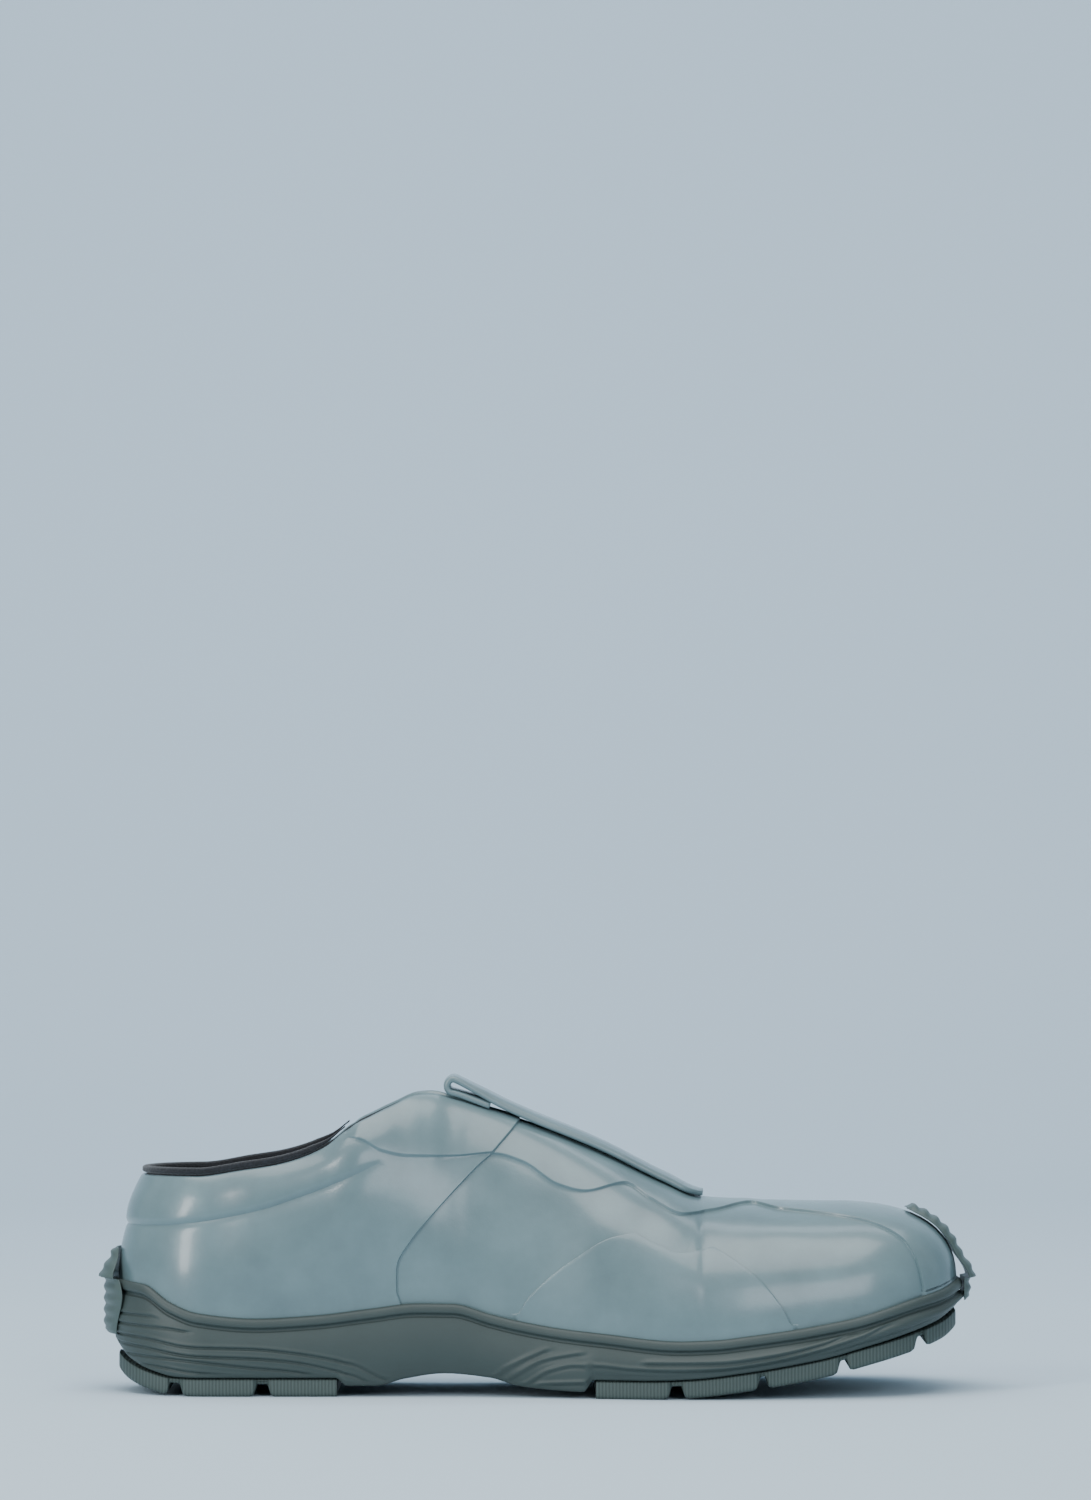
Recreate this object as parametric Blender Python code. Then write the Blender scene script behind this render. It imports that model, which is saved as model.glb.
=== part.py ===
# A low slip-on shoe for the right foot: leather upper on a moulded rubber cup sole.
# Toe towards +X, outer side of the foot towards -Y, up +Z, metres, standing on z = 0.
import math

import bmesh
import bpy
from mathutils import Vector

# Driving sizes of the shoe
LENGTH = 0.3000             # from the heel tab to the toe guard
BALL_WIDTH = 0.1040         # cup sole across the ball of the foot
HEEL_RADIUS = 0.0360        # round of the heel, seen from above
TOE_REACH = 0.0450          # length over which the toe rounds off
TOE_SWING = 0.0060          # how far the toe swings to the inner side
SWING_SHARE = 0.53          # share of the swing that is taken off at the heel, to centre the shoe
INSTEP_HEIGHT = 0.1010      # top of the eyestay at the collar
HEEL_HEIGHT = 0.0740        # collar at the back of the heel
TOE_HEIGHT = 0.0640         # top of the toe box
COLLAR_HALF = 0.0265        # half the foot opening, at its widest
SLOT_HALF = 0.0100          # half the throat slot under the strap
EDGE_HEIGHT = 0.0266        # top edge of the cup sole at the heel
FOOTBED_HEIGHT = 0.0195     # cup floor at the heel
ARCH_HEIGHT = 0.0079        # underside of the cup sole at the arch
TOE_SPRING = 0.0240         # rise of the tread at the toe tip
TREAD_DEPTH = 0.0060        # lugs with their web
TREAD_WEB = 0.0018          # web left above the grooves between the lugs
GROOVE_SLOPE = 0.0010       # slant of a lug's end
LIP_INSET = 0.0036          # sole's widest line to the upper
LIP_FLAT = 0.0017           # width of the sole's top edge
STITCH_DROP = 0.0042        # top edge down to the stitch groove
STITCH_GROOVE = 0.0016      # height of the stitch groove
STITCH_DEPTH = 0.0011       # depth of the stitch groove
SIDE_RIB = 0.0008           # depth of the ribs along the sole's side
SIDE_BULGE = 0.0014         # how far the sole's side draws in at its foot
SIDE_FOOT = 0.0034          # sole's widest line to the flat of its underside
SIDE_CHAMFER = 0.0010       # chamfer round the underside
SIDE_START = 0.0016         # underside to the lowest rib
LIP_FACE = 0.0009           # sole's widest line to the face of its lip
LIP_ROUND = 0.0008          # rounding of the lip's top
GROOVE_ROUND = 0.0003       # rounding of the stitch groove
CORE_INSET = 0.0140         # sole's widest line to the flat middle of the cup and insole
INSOLE_ROUND = 0.0010
UPPER_WALL = 0.0020         # leather and lining together
OVERLAY = 0.0009            # step at the edge of an overlay
COLLAR_PAD = 0.0016         # swell of the padded collar
INSOLE_THICKNESS = 0.0040
GORE_THICKNESS = 0.0015
GORE_HALF = 0.0190
GORE_DROP = 0.0012          # gore below the lining of the upper
STRAP_HALF = 0.0130
STRAP_THICKNESS = 0.0024
STRAP_CLEARANCE = 0.0017    # strap over the eyestays
BINDING_RADIUS = 0.0013
GUARD_THICKNESS = 0.0022    # toe guard and heel tab, under their nubs
NUB = 0.0007                # height of a nub
NUB_PITCH = 0.0039
GUARD_HALF = 0.0120
TAB_HALF = 0.0190
TAB_FOOT = 0.0020           # sole's underside to the foot of the heel tab
GUARD_FOOT = 0.0012         # sole's underside to the foot of the toe guard
GAP = 0.0003                # between neighbouring pieces

# Resolution: columns on each side of the shoe, by region
HEEL_COLUMNS = 9
WAIST_COLUMNS = 21
TOE_COLUMNS = 9

# Half widths as shares of half the ball width: place along the length, outer side, inner side
WIDTHS = (
    (0.00, 0.68, 0.68), (0.12, 0.69, 0.69), (0.22, 0.69, 0.67), (0.32, 0.68, 0.60), (0.41, 0.69, 0.56),
    (0.49, 0.76, 0.61), (0.57, 0.88, 0.76), (0.65, 0.98, 0.91), (0.72, 1.01, 0.98), (0.80, 0.98, 0.98),
    (0.88, 0.94, 0.96), (1.00, 0.90, 0.94),
)
# Top edge of the cup sole: place along the length, share of the heel's edge height
EDGE = (
    (0.00, 1.46), (0.045, 1.42), (0.079, 1.20), (0.112, 1.07), (0.18, 1.00), (0.247, 1.04), (0.313, 1.13),
    (0.363, 1.195), (0.403, 1.19), (0.447, 1.06), (0.48, 0.975), (0.525, 0.89), (0.571, 0.835), (0.66, 0.745),
    (0.70, 0.76), (0.739, 0.81), (0.796, 0.895), (0.829, 0.96), (0.865, 1.04), (0.90, 1.15), (0.931, 1.25),
    (0.965, 1.34), (1.00, 1.46),
)
# Cup floor: place along the length, share of the footbed height
FLOOR = (
    (0.00, 1.04), (0.10, 1.00), (0.30, 1.00), (0.39, 1.03), (0.50, 0.87), (0.65, 0.69), (0.75, 0.78),
    (0.83, 0.97), (0.93, 1.34), (1.00, 1.52),
)
# Ground line of the heel and of the toe: place along the length, share of the toe spring
GROUND = (
    (0.00, 0.62), (0.012, 0.42), (0.03, 0.22), (0.055, 0.09), (0.085, 0.01), (0.11, 0.00), (0.62, 0.00),
    (0.67, 0.02), (0.74, 0.12), (0.82, 0.29), (0.87, 0.45), (0.92, 0.62), (0.96, 0.78), (1.00, 1.00),
)
# Underside of the cup sole through the arch: place along the length, share of the arch height
ARCH = (
    (0.283, 0.47), (0.317, 0.47), (0.35, 0.78), (0.394, 1.00), (0.446, 0.83), (0.48, 0.48), (0.52, 0.33),
    (0.552, 0.28),
)
ARCH_START = 0.283
ARCH_END = 0.552
ARCH_STEP = 0.012           # length over which the arch steps up to the tread
# Top line of the upper, collar and then ridge: place along the length, share of the instep height
TOP_LINE = (
    (0.00, 0.733), (0.11, 0.733), (0.167, 0.757), (0.20, 0.772), (0.229, 0.795), (0.259, 0.835),
    (0.283, 0.890), (0.311, 0.932), (0.337, 0.968), (0.363, 0.998), (0.376, 1.00), (0.403, 0.980),
    (0.43, 0.956), (0.465, 0.925), (0.51, 0.879), (0.572, 0.804), (0.645, 0.701), (0.69, 0.648),
    (0.733, 0.641),
)
# Ridge of the toe box: place along the length, share of the toe height
RIDGE = ((0.733, 1.012), (0.76, 1.003), (0.85, 0.995), (1.00, 1.00))
RIDGE_START = 0.733
# Half width of the foot opening, then of the throat slot: place along the length, share of each half width
OPENING = ((0.00, 0.90), (0.13, 0.92), (0.18, 0.99), (0.24, 1.00), (0.29, 0.95), (0.32, 0.82), (0.35, 0.64),
           (0.375, 0.50), (0.40, 0.42))
SLOT = ((0.40, 1.11), (0.45, 1.00), (0.55, 0.80), (0.66, 0.60), (0.68, 0.40), (0.69, 0.00))
SLOT_START = 0.40
# How the wall stands: place along the length, lean of the top in quarter turns from flat to upright,
# handle at the sole and handle at the top as shares of rise and reach, swell at the sole as a share of rise
STANCE = (
    (0.00, 0.84, 0.40, 0.45, 0.00), (0.15, 0.80, 0.45, 0.45, 0.07), (0.25, 0.70, 0.45, 0.42, 0.08),
    (0.34, 0.45, 0.45, 0.40, 0.06), (0.42, 0.20, 0.48, 0.42, 0.05), (0.50, 0.10, 0.50, 0.46, 0.05),
    (0.60, 0.05, 0.55, 0.52, 0.05), (0.70, 0.02, 0.62, 0.56, 0.04), (0.80, 0.00, 0.64, 0.60, 0.03),
    (1.00, 0.00, 0.60, 0.74, 0.00),
)
# Lower edge of the eyestay and the toe cap, seen from the side:
# place along the length, share of the instep height
EYESTAY_EDGE = (
    (0.290, 0.860), (0.323, 0.822), (0.350, 0.808), (0.404, 0.804), (0.450, 0.812), (0.483, 0.785),
    (0.523, 0.712), (0.555, 0.689), (0.598, 0.712), (0.630, 0.658), (0.667, 0.608), (0.702, 0.617),
    (0.743, 0.636), (0.778, 0.618), (0.818, 0.607), (0.868, 0.586), (0.887, 0.570), (0.902, 0.550),
    (0.916, 0.521), (0.926, 0.482), (0.932, 0.440), (0.938, 0.355), (0.942, 0.200), (0.946, 0.000),
)
EYESTAY_START = 0.288
# Lower edge of the padded collar: place along the length, share of the heel height
COLLAR_EDGE = ((0.00, 0.775), (0.076, 0.781), (0.119, 0.801), (0.184, 0.854), (0.23, 0.915), (0.263, 0.965),
               (0.313, 1.057), (0.34, 1.108))
COLLAR_END = 0.335
# Upper edge of the ball patch: place along the length, share of the toe height
PATCH_EDGE = (
    (0.465, 0.36), (0.49, 0.527), (0.536, 0.716), (0.588, 0.848), (0.626, 0.875), (0.661, 0.864),
    (0.691, 0.817), (0.724, 0.725), (0.753, 0.617), (0.774, 0.497), (0.797, 0.33),
)
PATCH_START = 0.470
PATCH_END = 0.792
# Front edge of the rear quarter: share of the instep height, place along the length
QUARTER_EDGE = ((0.31, 0.345), (0.355, 0.340), (0.435, 0.340), (0.53, 0.357), (0.607, 0.379), (0.70, 0.408),
                (0.786, 0.437), (0.817, 0.450), (1.00, 0.490))
QUARTER_FOOT = 0.345        # place of the quarter's edge at the sole
QUARTER_SPREAD = 0.280      # length over which the neighbouring columns lean with it
# Lugs, as places along the length: start and end of each groove between them
HEEL_GROOVES = ((0.078, 0.098), (0.177, 0.198))
FOREFOOT_GROOVES = ((0.647, 0.667), (0.747, 0.762), (0.838, 0.854), (0.927, 0.943))
HEEL_TREAD_END = 0.272
FOREFOOT_TREAD_START = 0.566
TREAD_INSET = 0.0026        # sole's widest line to the tread's edge
TREAD_TIP = 0.0008          # rounding left off the end of a tread
TREAD_STATION = 0.0070      # spacing of a tread's sections
TREAD_LEAST = 0.0008        # least thickness of a tread
TREAD_CHAMFER = 0.0010
# Ribs along the sole's side: place along the length, share of the rib depth
RIBS = (
    (0.00, 0.6), (0.04, 1.0), (0.22, 1.0), (0.32, 0.5), (0.36, 0.0), (0.43, 0.0), (0.47, 1.0), (0.56, 0.8),
    (0.66, 0.4), (0.86, 0.4), (0.97, 0.2), (1.00, 0.2),
)
RIB_ROWS = 9
# Folded strap: place along the length, height over the ridge in strap thicknesses
STRAP_LIFT = ((0.395, 2.05), (0.43, 1.40), (0.47, 0.45), (0.51, 0.05), (0.55, 0.00))
STRAP_START = 0.404
STRAP_FOLD_END = 0.445      # front end of the strap's folded under layer
STRAP_TIP = 0.690
STRAP_TAPER = 0.3           # how much narrower the strap ends
STRAP_TAPER_RUN = 0.03      # place along the length over which it narrows
# Heel tab and toe guard: share of their height, share of their half width
TAB_WIDTHS = ((0.00, 0.79), (0.45, 1.00), (0.75, 0.79), (1.00, 0.42))
GUARD_WIDTHS = ((0.00, 1.00), (0.60, 1.00), (0.90, 0.83), (1.00, 0.58))
TAB_TOP = 0.27              # rise of the heel wall that the tab reaches
GUARD_TOP = 0.66            # rise of the toe that the guard reaches
GORE_START = 0.392
GORE_END = 0.715
BINDING_END = 0.283         # where the collar binding meets the eyestay

FULL_TURN = 2 * math.pi


def read_table(table, at, column=1):
    """Smooth value of a table's column at a place, held flat past both ends."""
    if at <= table[0][0]:
        return table[0][column]
    if at >= table[-1][0]:
        return table[-1][column]
    row = next(i for i in range(len(table) - 1) if at <= table[i + 1][0])
    spans = [table[i + 1][0] - table[i][0] for i in range(len(table) - 1)]
    rates = [(table[i + 1][column] - table[i][column]) / spans[i] for i in range(len(table) - 1)]

    def slope(i):
        if i == 0 or i == len(table) - 1:
            return 0.0
        before, after = rates[i - 1], rates[i]
        if before * after <= 0:
            return 0.0
        return 2 * before * after / (before + after)

    span = spans[row]
    t = (at - table[row][0]) / span
    low, high = table[row][column], table[row + 1][column]
    return (low * (2 * t ** 3 - 3 * t ** 2 + 1) + slope(row) * span * (t ** 3 - 2 * t ** 2 + t)
            + high * (3 * t ** 2 - 2 * t ** 3) + slope(row + 1) * span * (t ** 3 - t ** 2))


def blend(low, high, value):
    """Smooth step from 0 to 1 between two values."""
    t = min(max((value - low) / (high - low), 0.0), 1.0)
    return t * t * (3 - 2 * t)


HALF_LENGTH = LENGTH / 2
SOLE_HALF = HALF_LENGTH - GUARD_THICKNESS - GAP
HEEL_AXIS = -SOLE_HALF + HEEL_RADIUS
TOE_AXIS = SOLE_HALF - TOE_REACH
HEEL_SHARE = 0.17           # part of a side's columns that goes round the heel
TOE_SHARE = 0.82            # and where the columns start to go round the toe
TOE_SQUARENESS = 2.3


def place(x):
    """Place along the length, 0 at the heel and 1 at the toe."""
    return (x + HALF_LENGTH) / LENGTH


def along(share):
    """X of a place along the length."""
    return share * LENGTH - HALF_LENGTH


def centre_line(x):
    """Y of the shoe's curved middle line."""
    return TOE_SWING * (blend(along(0.45), along(0.95), x) - SWING_SHARE)


def half_width(x, side):
    column = 1 if side < 0 else 2
    return BALL_WIDTH / 2 * read_table(WIDTHS, place(x), column)


class Station:
    """One upright section plane, named by its share round a side: 0 at the heel, 1 at the toe tip."""

    def __init__(self, share, side):
        if share < HEEL_SHARE:
            turn = share / HEEL_SHARE * FULL_TURN / 4
            x = HEEL_AXIS - HEEL_RADIUS * math.cos(turn)
            pinch = math.sin(turn)
            axis_x = HEEL_AXIS
        elif share > TOE_SHARE:
            turn = (share - TOE_SHARE) / (1 - TOE_SHARE) * FULL_TURN / 4
            x = TOE_AXIS + TOE_REACH * math.sin(turn) ** (2 / TOE_SQUARENESS)
            pinch = max(math.cos(turn), 0.0) ** (2 / TOE_SQUARENESS)
            axis_x = TOE_AXIS
        else:
            x = HEEL_AXIS + (TOE_AXIS - HEEL_AXIS) * (share - HEEL_SHARE) / (TOE_SHARE - HEEL_SHARE)
            pinch = 1.0
            axis_x = x
        self.side = side
        self.rim = Vector((x, centre_line(x) + side * half_width(x, side) * pinch, 0))
        self.axis = Vector((axis_x, centre_line(axis_x), 0))
        inward = self.axis - self.rim
        self.reach = inward.length
        self.inward = inward.normalized()

    def point(self, inset, height):
        spot = self.rim + self.inward * inset
        return Vector((spot.x, spot.y, height))


def edge_height(x):
    return EDGE_HEIGHT * read_table(EDGE, place(x))


def floor_height(x):
    return FOOTBED_HEIGHT * read_table(FLOOR, place(x))


def ground_height(x):
    return TOE_SPRING * read_table(GROUND, place(x))


def underside_height(x):
    """Underside of the cup sole: over the treads, and through the arch between them."""
    at = place(x)
    over_tread = ground_height(x) + TREAD_DEPTH + GAP
    arch = ARCH_HEIGHT * read_table(ARCH, at)
    in_arch = blend(ARCH_START - ARCH_STEP, ARCH_START, at) * (1 - blend(ARCH_END, ARCH_END + ARCH_STEP, at))
    return over_tread + (arch - over_tread) * in_arch


def top_height(x):
    at = place(x)
    if at < RIDGE_START:
        return INSTEP_HEIGHT * read_table(TOP_LINE, at)
    return TOE_HEIGHT * read_table(RIDGE, at)


def opening_half(x):
    at = place(x)
    if at < SLOT_START:
        return COLLAR_HALF * read_table(OPENING, at)
    return SLOT_HALF * read_table(SLOT, at)


def wall_curve(station):
    """The four Bezier handles of the upper's section, as inset and height."""
    foot_inset = LIP_INSET
    foot_x = station.rim.x
    foot_z = edge_height(foot_x)
    top_inset = station.reach - opening_half(station.axis.x)
    top_z = top_height(foot_x + station.inward.x * top_inset)
    at = place(foot_x)
    lean = read_table(STANCE, at, 1) * FULL_TURN / 4
    rise = top_z - foot_z
    reach = top_inset - foot_inset
    low_handle = rise * read_table(STANCE, at, 2)
    span = max(reach * math.cos(lean), rise * math.sin(lean))
    high_handle = span * read_table(STANCE, at, 3)
    swell = rise * read_table(STANCE, at, 4)
    return (
        (foot_inset, foot_z),
        (foot_inset - swell, foot_z + low_handle),
        (top_inset - high_handle * math.cos(lean), top_z - high_handle * math.sin(lean)),
        (top_inset, top_z),
    )


def upper_point(share, side, rise):
    """Point of the upper's base skin: rise 0 at the sole, 1 at the collar, slot or ridge."""
    station = Station(min(max(share, 0.0), 1.0), side)
    a, b, c, d = wall_curve(station)
    t = rise
    weights = ((1 - t) ** 3, 3 * t * (1 - t) ** 2, 3 * t * t * (1 - t), t ** 3)
    inset = sum(w * p[0] for w, p in zip(weights, (a, b, c, d)))
    height = sum(w * p[1] for w, p in zip(weights, (a, b, c, d)))
    return station.point(inset, height)


def upper_normal(share, side, rise):
    """Outward normal of the upper's base skin, the same for both sides at the heel and toe."""
    step = 0.004
    here = min(max(share, step), 1 - step)
    up = min(max(rise, step), 1 - step)
    normal = Vector((0, 0, 0))
    for hand in (-1, 1) if here != share else (side,):
        forward = upper_point(here + step, hand, up) - upper_point(here - step, hand, up)
        upward = upper_point(here, hand, up + step) - upper_point(here, hand, up - step)
        normal += (forward.cross(upward) * -hand).normalized()
    if here != share:
        normal.y = 0.0
    return normal.normalized()


def share_of(x):
    """Share round a side of the section plane at x, between the heel and toe axes."""
    return HEEL_SHARE + (TOE_SHARE - HEEL_SHARE) * (x - HEEL_AXIS) / (TOE_AXIS - HEEL_AXIS)


def column_shares():
    """Shares of one side's columns, some at the arch's steps and a pair at the rear quarter's edge."""
    shares = [HEEL_SHARE * i / HEEL_COLUMNS for i in range(HEEL_COLUMNS)]
    shares += [HEEL_SHARE + (TOE_SHARE - HEEL_SHARE) * i / WAIST_COLUMNS for i in range(WAIST_COLUMNS)]
    shares += [TOE_SHARE + (1 - TOE_SHARE) * i / TOE_COLUMNS for i in range(TOE_COLUMNS + 1)]
    quarter = along(QUARTER_FOOT)
    stops = [quarter - GAP, quarter + GAP]
    stops += [along(at) for at in (ARCH_START - ARCH_STEP, ARCH_START, ARCH_END, ARCH_END + ARCH_STEP)]
    stops = [share_of(x) for x in stops]
    near = 0.4 * (TOE_SHARE - HEEL_SHARE) / WAIST_COLUMNS
    kept = [share for share in shares if all(abs(share - stop) > near for stop in stops)]
    return sorted(kept + stops)


SHARES = column_shares()
LAST = len(SHARES) - 1


def quarter_lean(side, rise):
    """How far the rear quarter's edge has moved forwards at a rise, in shares round the side."""
    foot = share_of(along(QUARTER_FOOT))
    moved = 0.0
    for _ in range(5):
        height = upper_point(foot + moved, side, rise).z
        moved = share_of(along(read_table(QUARTER_EDGE, height / INSTEP_HEIGHT))) - foot
    return moved


LEANS = {side: [quarter_lean(side, i / 20) for i in range(21)] for side in (-1, 1)}


def leaned_share(share, side, rise):
    """Share of a column at a rise, where it leans with the quarter's edge."""
    spread = (TOE_SHARE - HEEL_SHARE) * QUARTER_SPREAD * LENGTH / (TOE_AXIS - HEEL_AXIS)
    away = abs(share - share_of(along(QUARTER_FOOT)))
    if away >= spread:
        return share
    weight = (1 + math.cos(math.pi * away / spread)) / 2
    position = min(max(rise, 0.0), 1.0) * 20
    low = min(int(position), 19)
    lean = LEANS[side][low] + (LEANS[side][low + 1] - LEANS[side][low]) * (position - low)
    return share + weight * lean


def column_point(share, side, rise):
    return upper_point(leaned_share(share, side, rise), side, rise)


def crossing(share, side, edge, scale):
    """Highest rise at which a column crosses an edge given by side view, or None where it is all above."""
    def above(rise):
        spot = column_point(share, side, rise)
        return spot.z - scale * read_table(edge, place(spot.x))

    steps = 40
    for i in range(steps, 0, -1):
        high, low = i / steps, (i - 1) / steps
        if above(high) > 0 >= above(low):
            for _ in range(12):
                middle = (high + low) / 2
                if above(middle) > 0:
                    high = middle
                else:
                    low = middle
            return (high + low) / 2
    return None


LOW_EDGE = 0.08             # least rise of an edge, and the rise of one that is hidden
EYESTAY_REST = 0.93         # rise of the eyestay's rows behind its tip
EDGE_SLOPE = 0.006          # rise over which an overlay steps up


def edge_rises(share, side):
    """Rises of the ball patch's, collar's and eyestay's edges on a column, and which of them show."""
    at = place(column_point(share, side, 0.5).x)
    top_at = place(column_point(share, side, 0.9).x)
    in_cap = False
    eyestay = EYESTAY_REST
    if top_at > EYESTAY_START:
        found = crossing(share, side, EYESTAY_EDGE, INSTEP_HEIGHT)
        if found is None or found < 3 * LOW_EDGE / 2:
            in_cap = True
            eyestay = 3 * LOW_EDGE / 2
        else:
            eyestay = min(found, EYESTAY_REST)
    patch = LOW_EDGE
    patch_shows = PATCH_START < at < PATCH_END
    if patch_shows:
        patch = max(crossing(share, side, PATCH_EDGE, TOE_HEIGHT) or LOW_EDGE, LOW_EDGE)
    patch = min(patch, eyestay * 0.8)
    between = (patch + eyestay) / 2
    seam_at = place(column_point(share, side, 0.7).x)
    collar_shows = seam_at < COLLAR_END
    collar = between
    if seam_at < COLLAR_END + 0.06:
        found = crossing(share, side, COLLAR_EDGE, HEEL_HEIGHT) or between
        collar = found + (between - found) * blend(COLLAR_END, COLLAR_END + 0.06, seam_at)
        collar = min(max(collar, patch + 0.1), eyestay - 0.05)
    return {
        "patch": patch, "collar": collar, "eyestay": eyestay, "patch_shows": patch_shows,
        "collar_shows": collar_shows, "eyestay_shows": top_at > EYESTAY_START, "in_cap": in_cap,
    }


def outer_rows(share, side, behind_quarter):
    """Rises and heights over the base skin of the upper's outer rows on one column."""
    edges = edge_rises(share, side)
    patch, collar, eyestay = edges["patch"], edges["collar"], edges["eyestay"]
    quarter = OVERLAY if behind_quarter else 0.0
    cap = OVERLAY if edges["in_cap"] else 0.0
    patch_step = OVERLAY if edges["patch_shows"] else 0.0
    eyestay_step = OVERLAY if edges["eyestay_shows"] and not edges["in_cap"] else 0.0
    rows = []

    def add(rise, height):
        swell = 0.0
        if edges["collar_shows"] and collar < rise < 1:
            swell = COLLAR_PAD * math.sin(math.pi * (rise - collar) / (1 - collar)) ** 0.7
        rows.append((rise, height + quarter + cap + swell))

    add(0.0, patch_step * 0.5)
    add(patch * 0.5, patch_step)
    add(patch - EDGE_SLOPE, patch_step)
    add(patch + EDGE_SLOPE, 0.0)
    for part in (1 / 3, 2 / 3):
        add(patch + (collar - patch) * part, 0.0)
    add(collar - EDGE_SLOPE, 0.0)
    add(collar + EDGE_SLOPE, 0.0)
    for part in (1 / 3, 2 / 3):
        add(collar + (eyestay - collar) * part, 0.0)
    add(eyestay - EDGE_SLOPE, 0.0)
    add(eyestay + EDGE_SLOPE, eyestay_step)
    for part in (1 / 3, 2 / 3, 1.0):
        add(eyestay + (1 - eyestay) * part, eyestay_step)
    return rows


INNER_RISES = (1.0, 0.8, 0.6, 0.4, 0.2, 0.0)


def skin_point(share, side, rise, height):
    """Point at a height over the upper's base skin, with both sides meeting on the ridge."""
    leaned = leaned_share(share, side, rise)
    spot = upper_point(leaned, side, rise)
    normal = upper_normal(leaned, side, rise)
    closed = opening_half(Station(leaned, side).axis.x) <= 0
    if rise >= 1 and closed:
        other = upper_normal(leaned, -side, rise)
        normal = Vector((0, 0, 1)) if leaned >= TOE_SHARE else normal + other
        normal.y = 0.0
        normal.normalize()
    return spot + normal * height


class Body:
    """A closed mesh that grows face by face, with points in the same place made one."""

    def __init__(self):
        self.points = []
        self.index = {}
        self.faces = []

    def corner(self, point):
        key = tuple(round(value * 1e6) for value in point)
        if key not in self.index:
            self.index[key] = len(self.points)
            self.points.append(tuple(point))
        return self.index[key]

    def face(self, *points):
        corners = []
        for point in points:
            number = self.corner(point)
            if number not in corners:
                corners.append(number)
        if len(corners) > 2:
            self.faces.append(corners)

    def strip(self, first, second, closed=False):
        """Faces between two rows of points."""
        count = len(first)
        for i in range(count if closed else count - 1):
            j = (i + 1) % count
            self.face(first[i], first[j], second[j], second[i])

    def build(self, name, collection, material, smooth_angle=40):
        mesh = bpy.data.meshes.new(name)
        mesh.from_pydata(self.points, [], self.faces)
        shell = bmesh.new()
        shell.from_mesh(mesh)
        bmesh.ops.recalc_face_normals(shell, faces=shell.faces)
        bmesh.ops.triangulate(shell, faces=shell.faces)
        shell.to_mesh(mesh)
        shell.free()
        mesh.materials.append(material)
        mesh.shade_smooth()
        mesh.set_sharp_from_angle(angle=math.radians(smooth_angle))
        piece = bpy.data.objects.new(name, mesh)
        collection.objects.link(piece)
        return piece


def paint(name, colour, roughness, metallic=0.0):
    material = bpy.data.materials.new(name)
    material.use_nodes = True
    shader = material.node_tree.nodes["Principled BSDF"]
    shader.inputs["Base Color"].default_value = (*colour, 1)
    shader.inputs["Roughness"].default_value = roughness
    shader.inputs["Metallic"].default_value = metallic
    return material


def ring(points_of):
    """Closed row round the shoe: the outer side from heel to toe, then the inner side back."""
    outer = [points_of(share, -1) for share in SHARES]
    inner = [points_of(share, 1) for share in SHARES[1:-1]]
    return outer + inner[::-1]


def cap_ring(body, row):
    """Closes a ring with faces that run from side to side."""
    count = len(row)
    for i in range(LAST):
        body.face(row[i], row[i + 1], row[(count - i - 1) % count], row[(count - i) % count])


def make_upper(collection, material):
    body = Body()
    edge = share_of(along(QUARTER_FOOT))
    sides = {}
    for side in (-1, 1):
        columns = []
        for share in SHARES:
            station = Station(share, side)
            foot_z = floor_height(station.rim.x) + GAP
            rows = outer_rows(share, side, share < edge)
            skirt = station.point(LIP_INSET, foot_z)
            outer = [skirt, station.point(LIP_INSET, edge_height(station.rim.x))]
            outer += [skin_point(share, side, rise, height) for rise, height in rows[1:]]
            inner = [skin_point(share, side, rise, -UPPER_WALL) for rise in INNER_RISES]
            inner.append(station.point(LIP_INSET + UPPER_WALL, foot_z))
            closed = opening_half(Station(leaned_share(share, side, 1.0), side).axis.x) <= 0
            columns.append((outer, inner, closed))
        sides[side] = columns
    for side in (-1, 1):
        columns = sides[side]
        for first, second in zip(columns, columns[1:]):
            body.strip(first[0], second[0])
            body.strip(first[1], second[1])
            body.face(first[0][0], second[0][0], second[1][-1], first[1][-1])
            if not (first[2] and second[2]):
                body.face(first[0][-1], second[0][-1], second[1][0], first[1][0])
    return body.build("upper", collection, material)


def side_rows():
    """Rows of the cup sole's side from its underside to the cup floor: functions of the rim's x."""
    rows = [
        (lambda x: CORE_INSET, underside_height),
        (lambda x: SIDE_FOOT, underside_height),
        (lambda x: SIDE_FOOT - SIDE_CHAMFER, lambda x: underside_height(x) + SIDE_CHAMFER / 2),
    ]

    def groove_foot(x):
        return edge_height(x) - STITCH_DROP - STITCH_GROOVE / 2

    for i in range(RIB_ROWS + 1):
        part = i / RIB_ROWS
        bulge = SIDE_BULGE * (2 * part - 1.1) ** 2
        rib = SIDE_RIB if i % 2 else 0.0

        def inset(x, bulge=bulge, rib=rib):
            return bulge + rib * read_table(RIBS, place(x))

        def height(x, part=part):
            low = underside_height(x) + SIDE_START
            return low + (groove_foot(x) - low) * part

        rows.append((inset, height))
    rows += [
        (lambda x: STITCH_DEPTH + LIP_FACE, lambda x: groove_foot(x) + GROOVE_ROUND),
        (lambda x: STITCH_DEPTH + LIP_FACE, lambda x: groove_foot(x) + STITCH_GROOVE),
        (lambda x: LIP_FACE, lambda x: groove_foot(x) + STITCH_GROOVE + GROOVE_ROUND),
        (lambda x: LIP_FACE, lambda x: edge_height(x) - LIP_ROUND),
        (lambda x: LIP_INSET - GAP - LIP_FLAT, edge_height),
        (lambda x: LIP_INSET - GAP, edge_height),
        (lambda x: LIP_INSET - GAP, floor_height),
        (lambda x: CORE_INSET, floor_height),
    ]
    return rows


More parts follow.
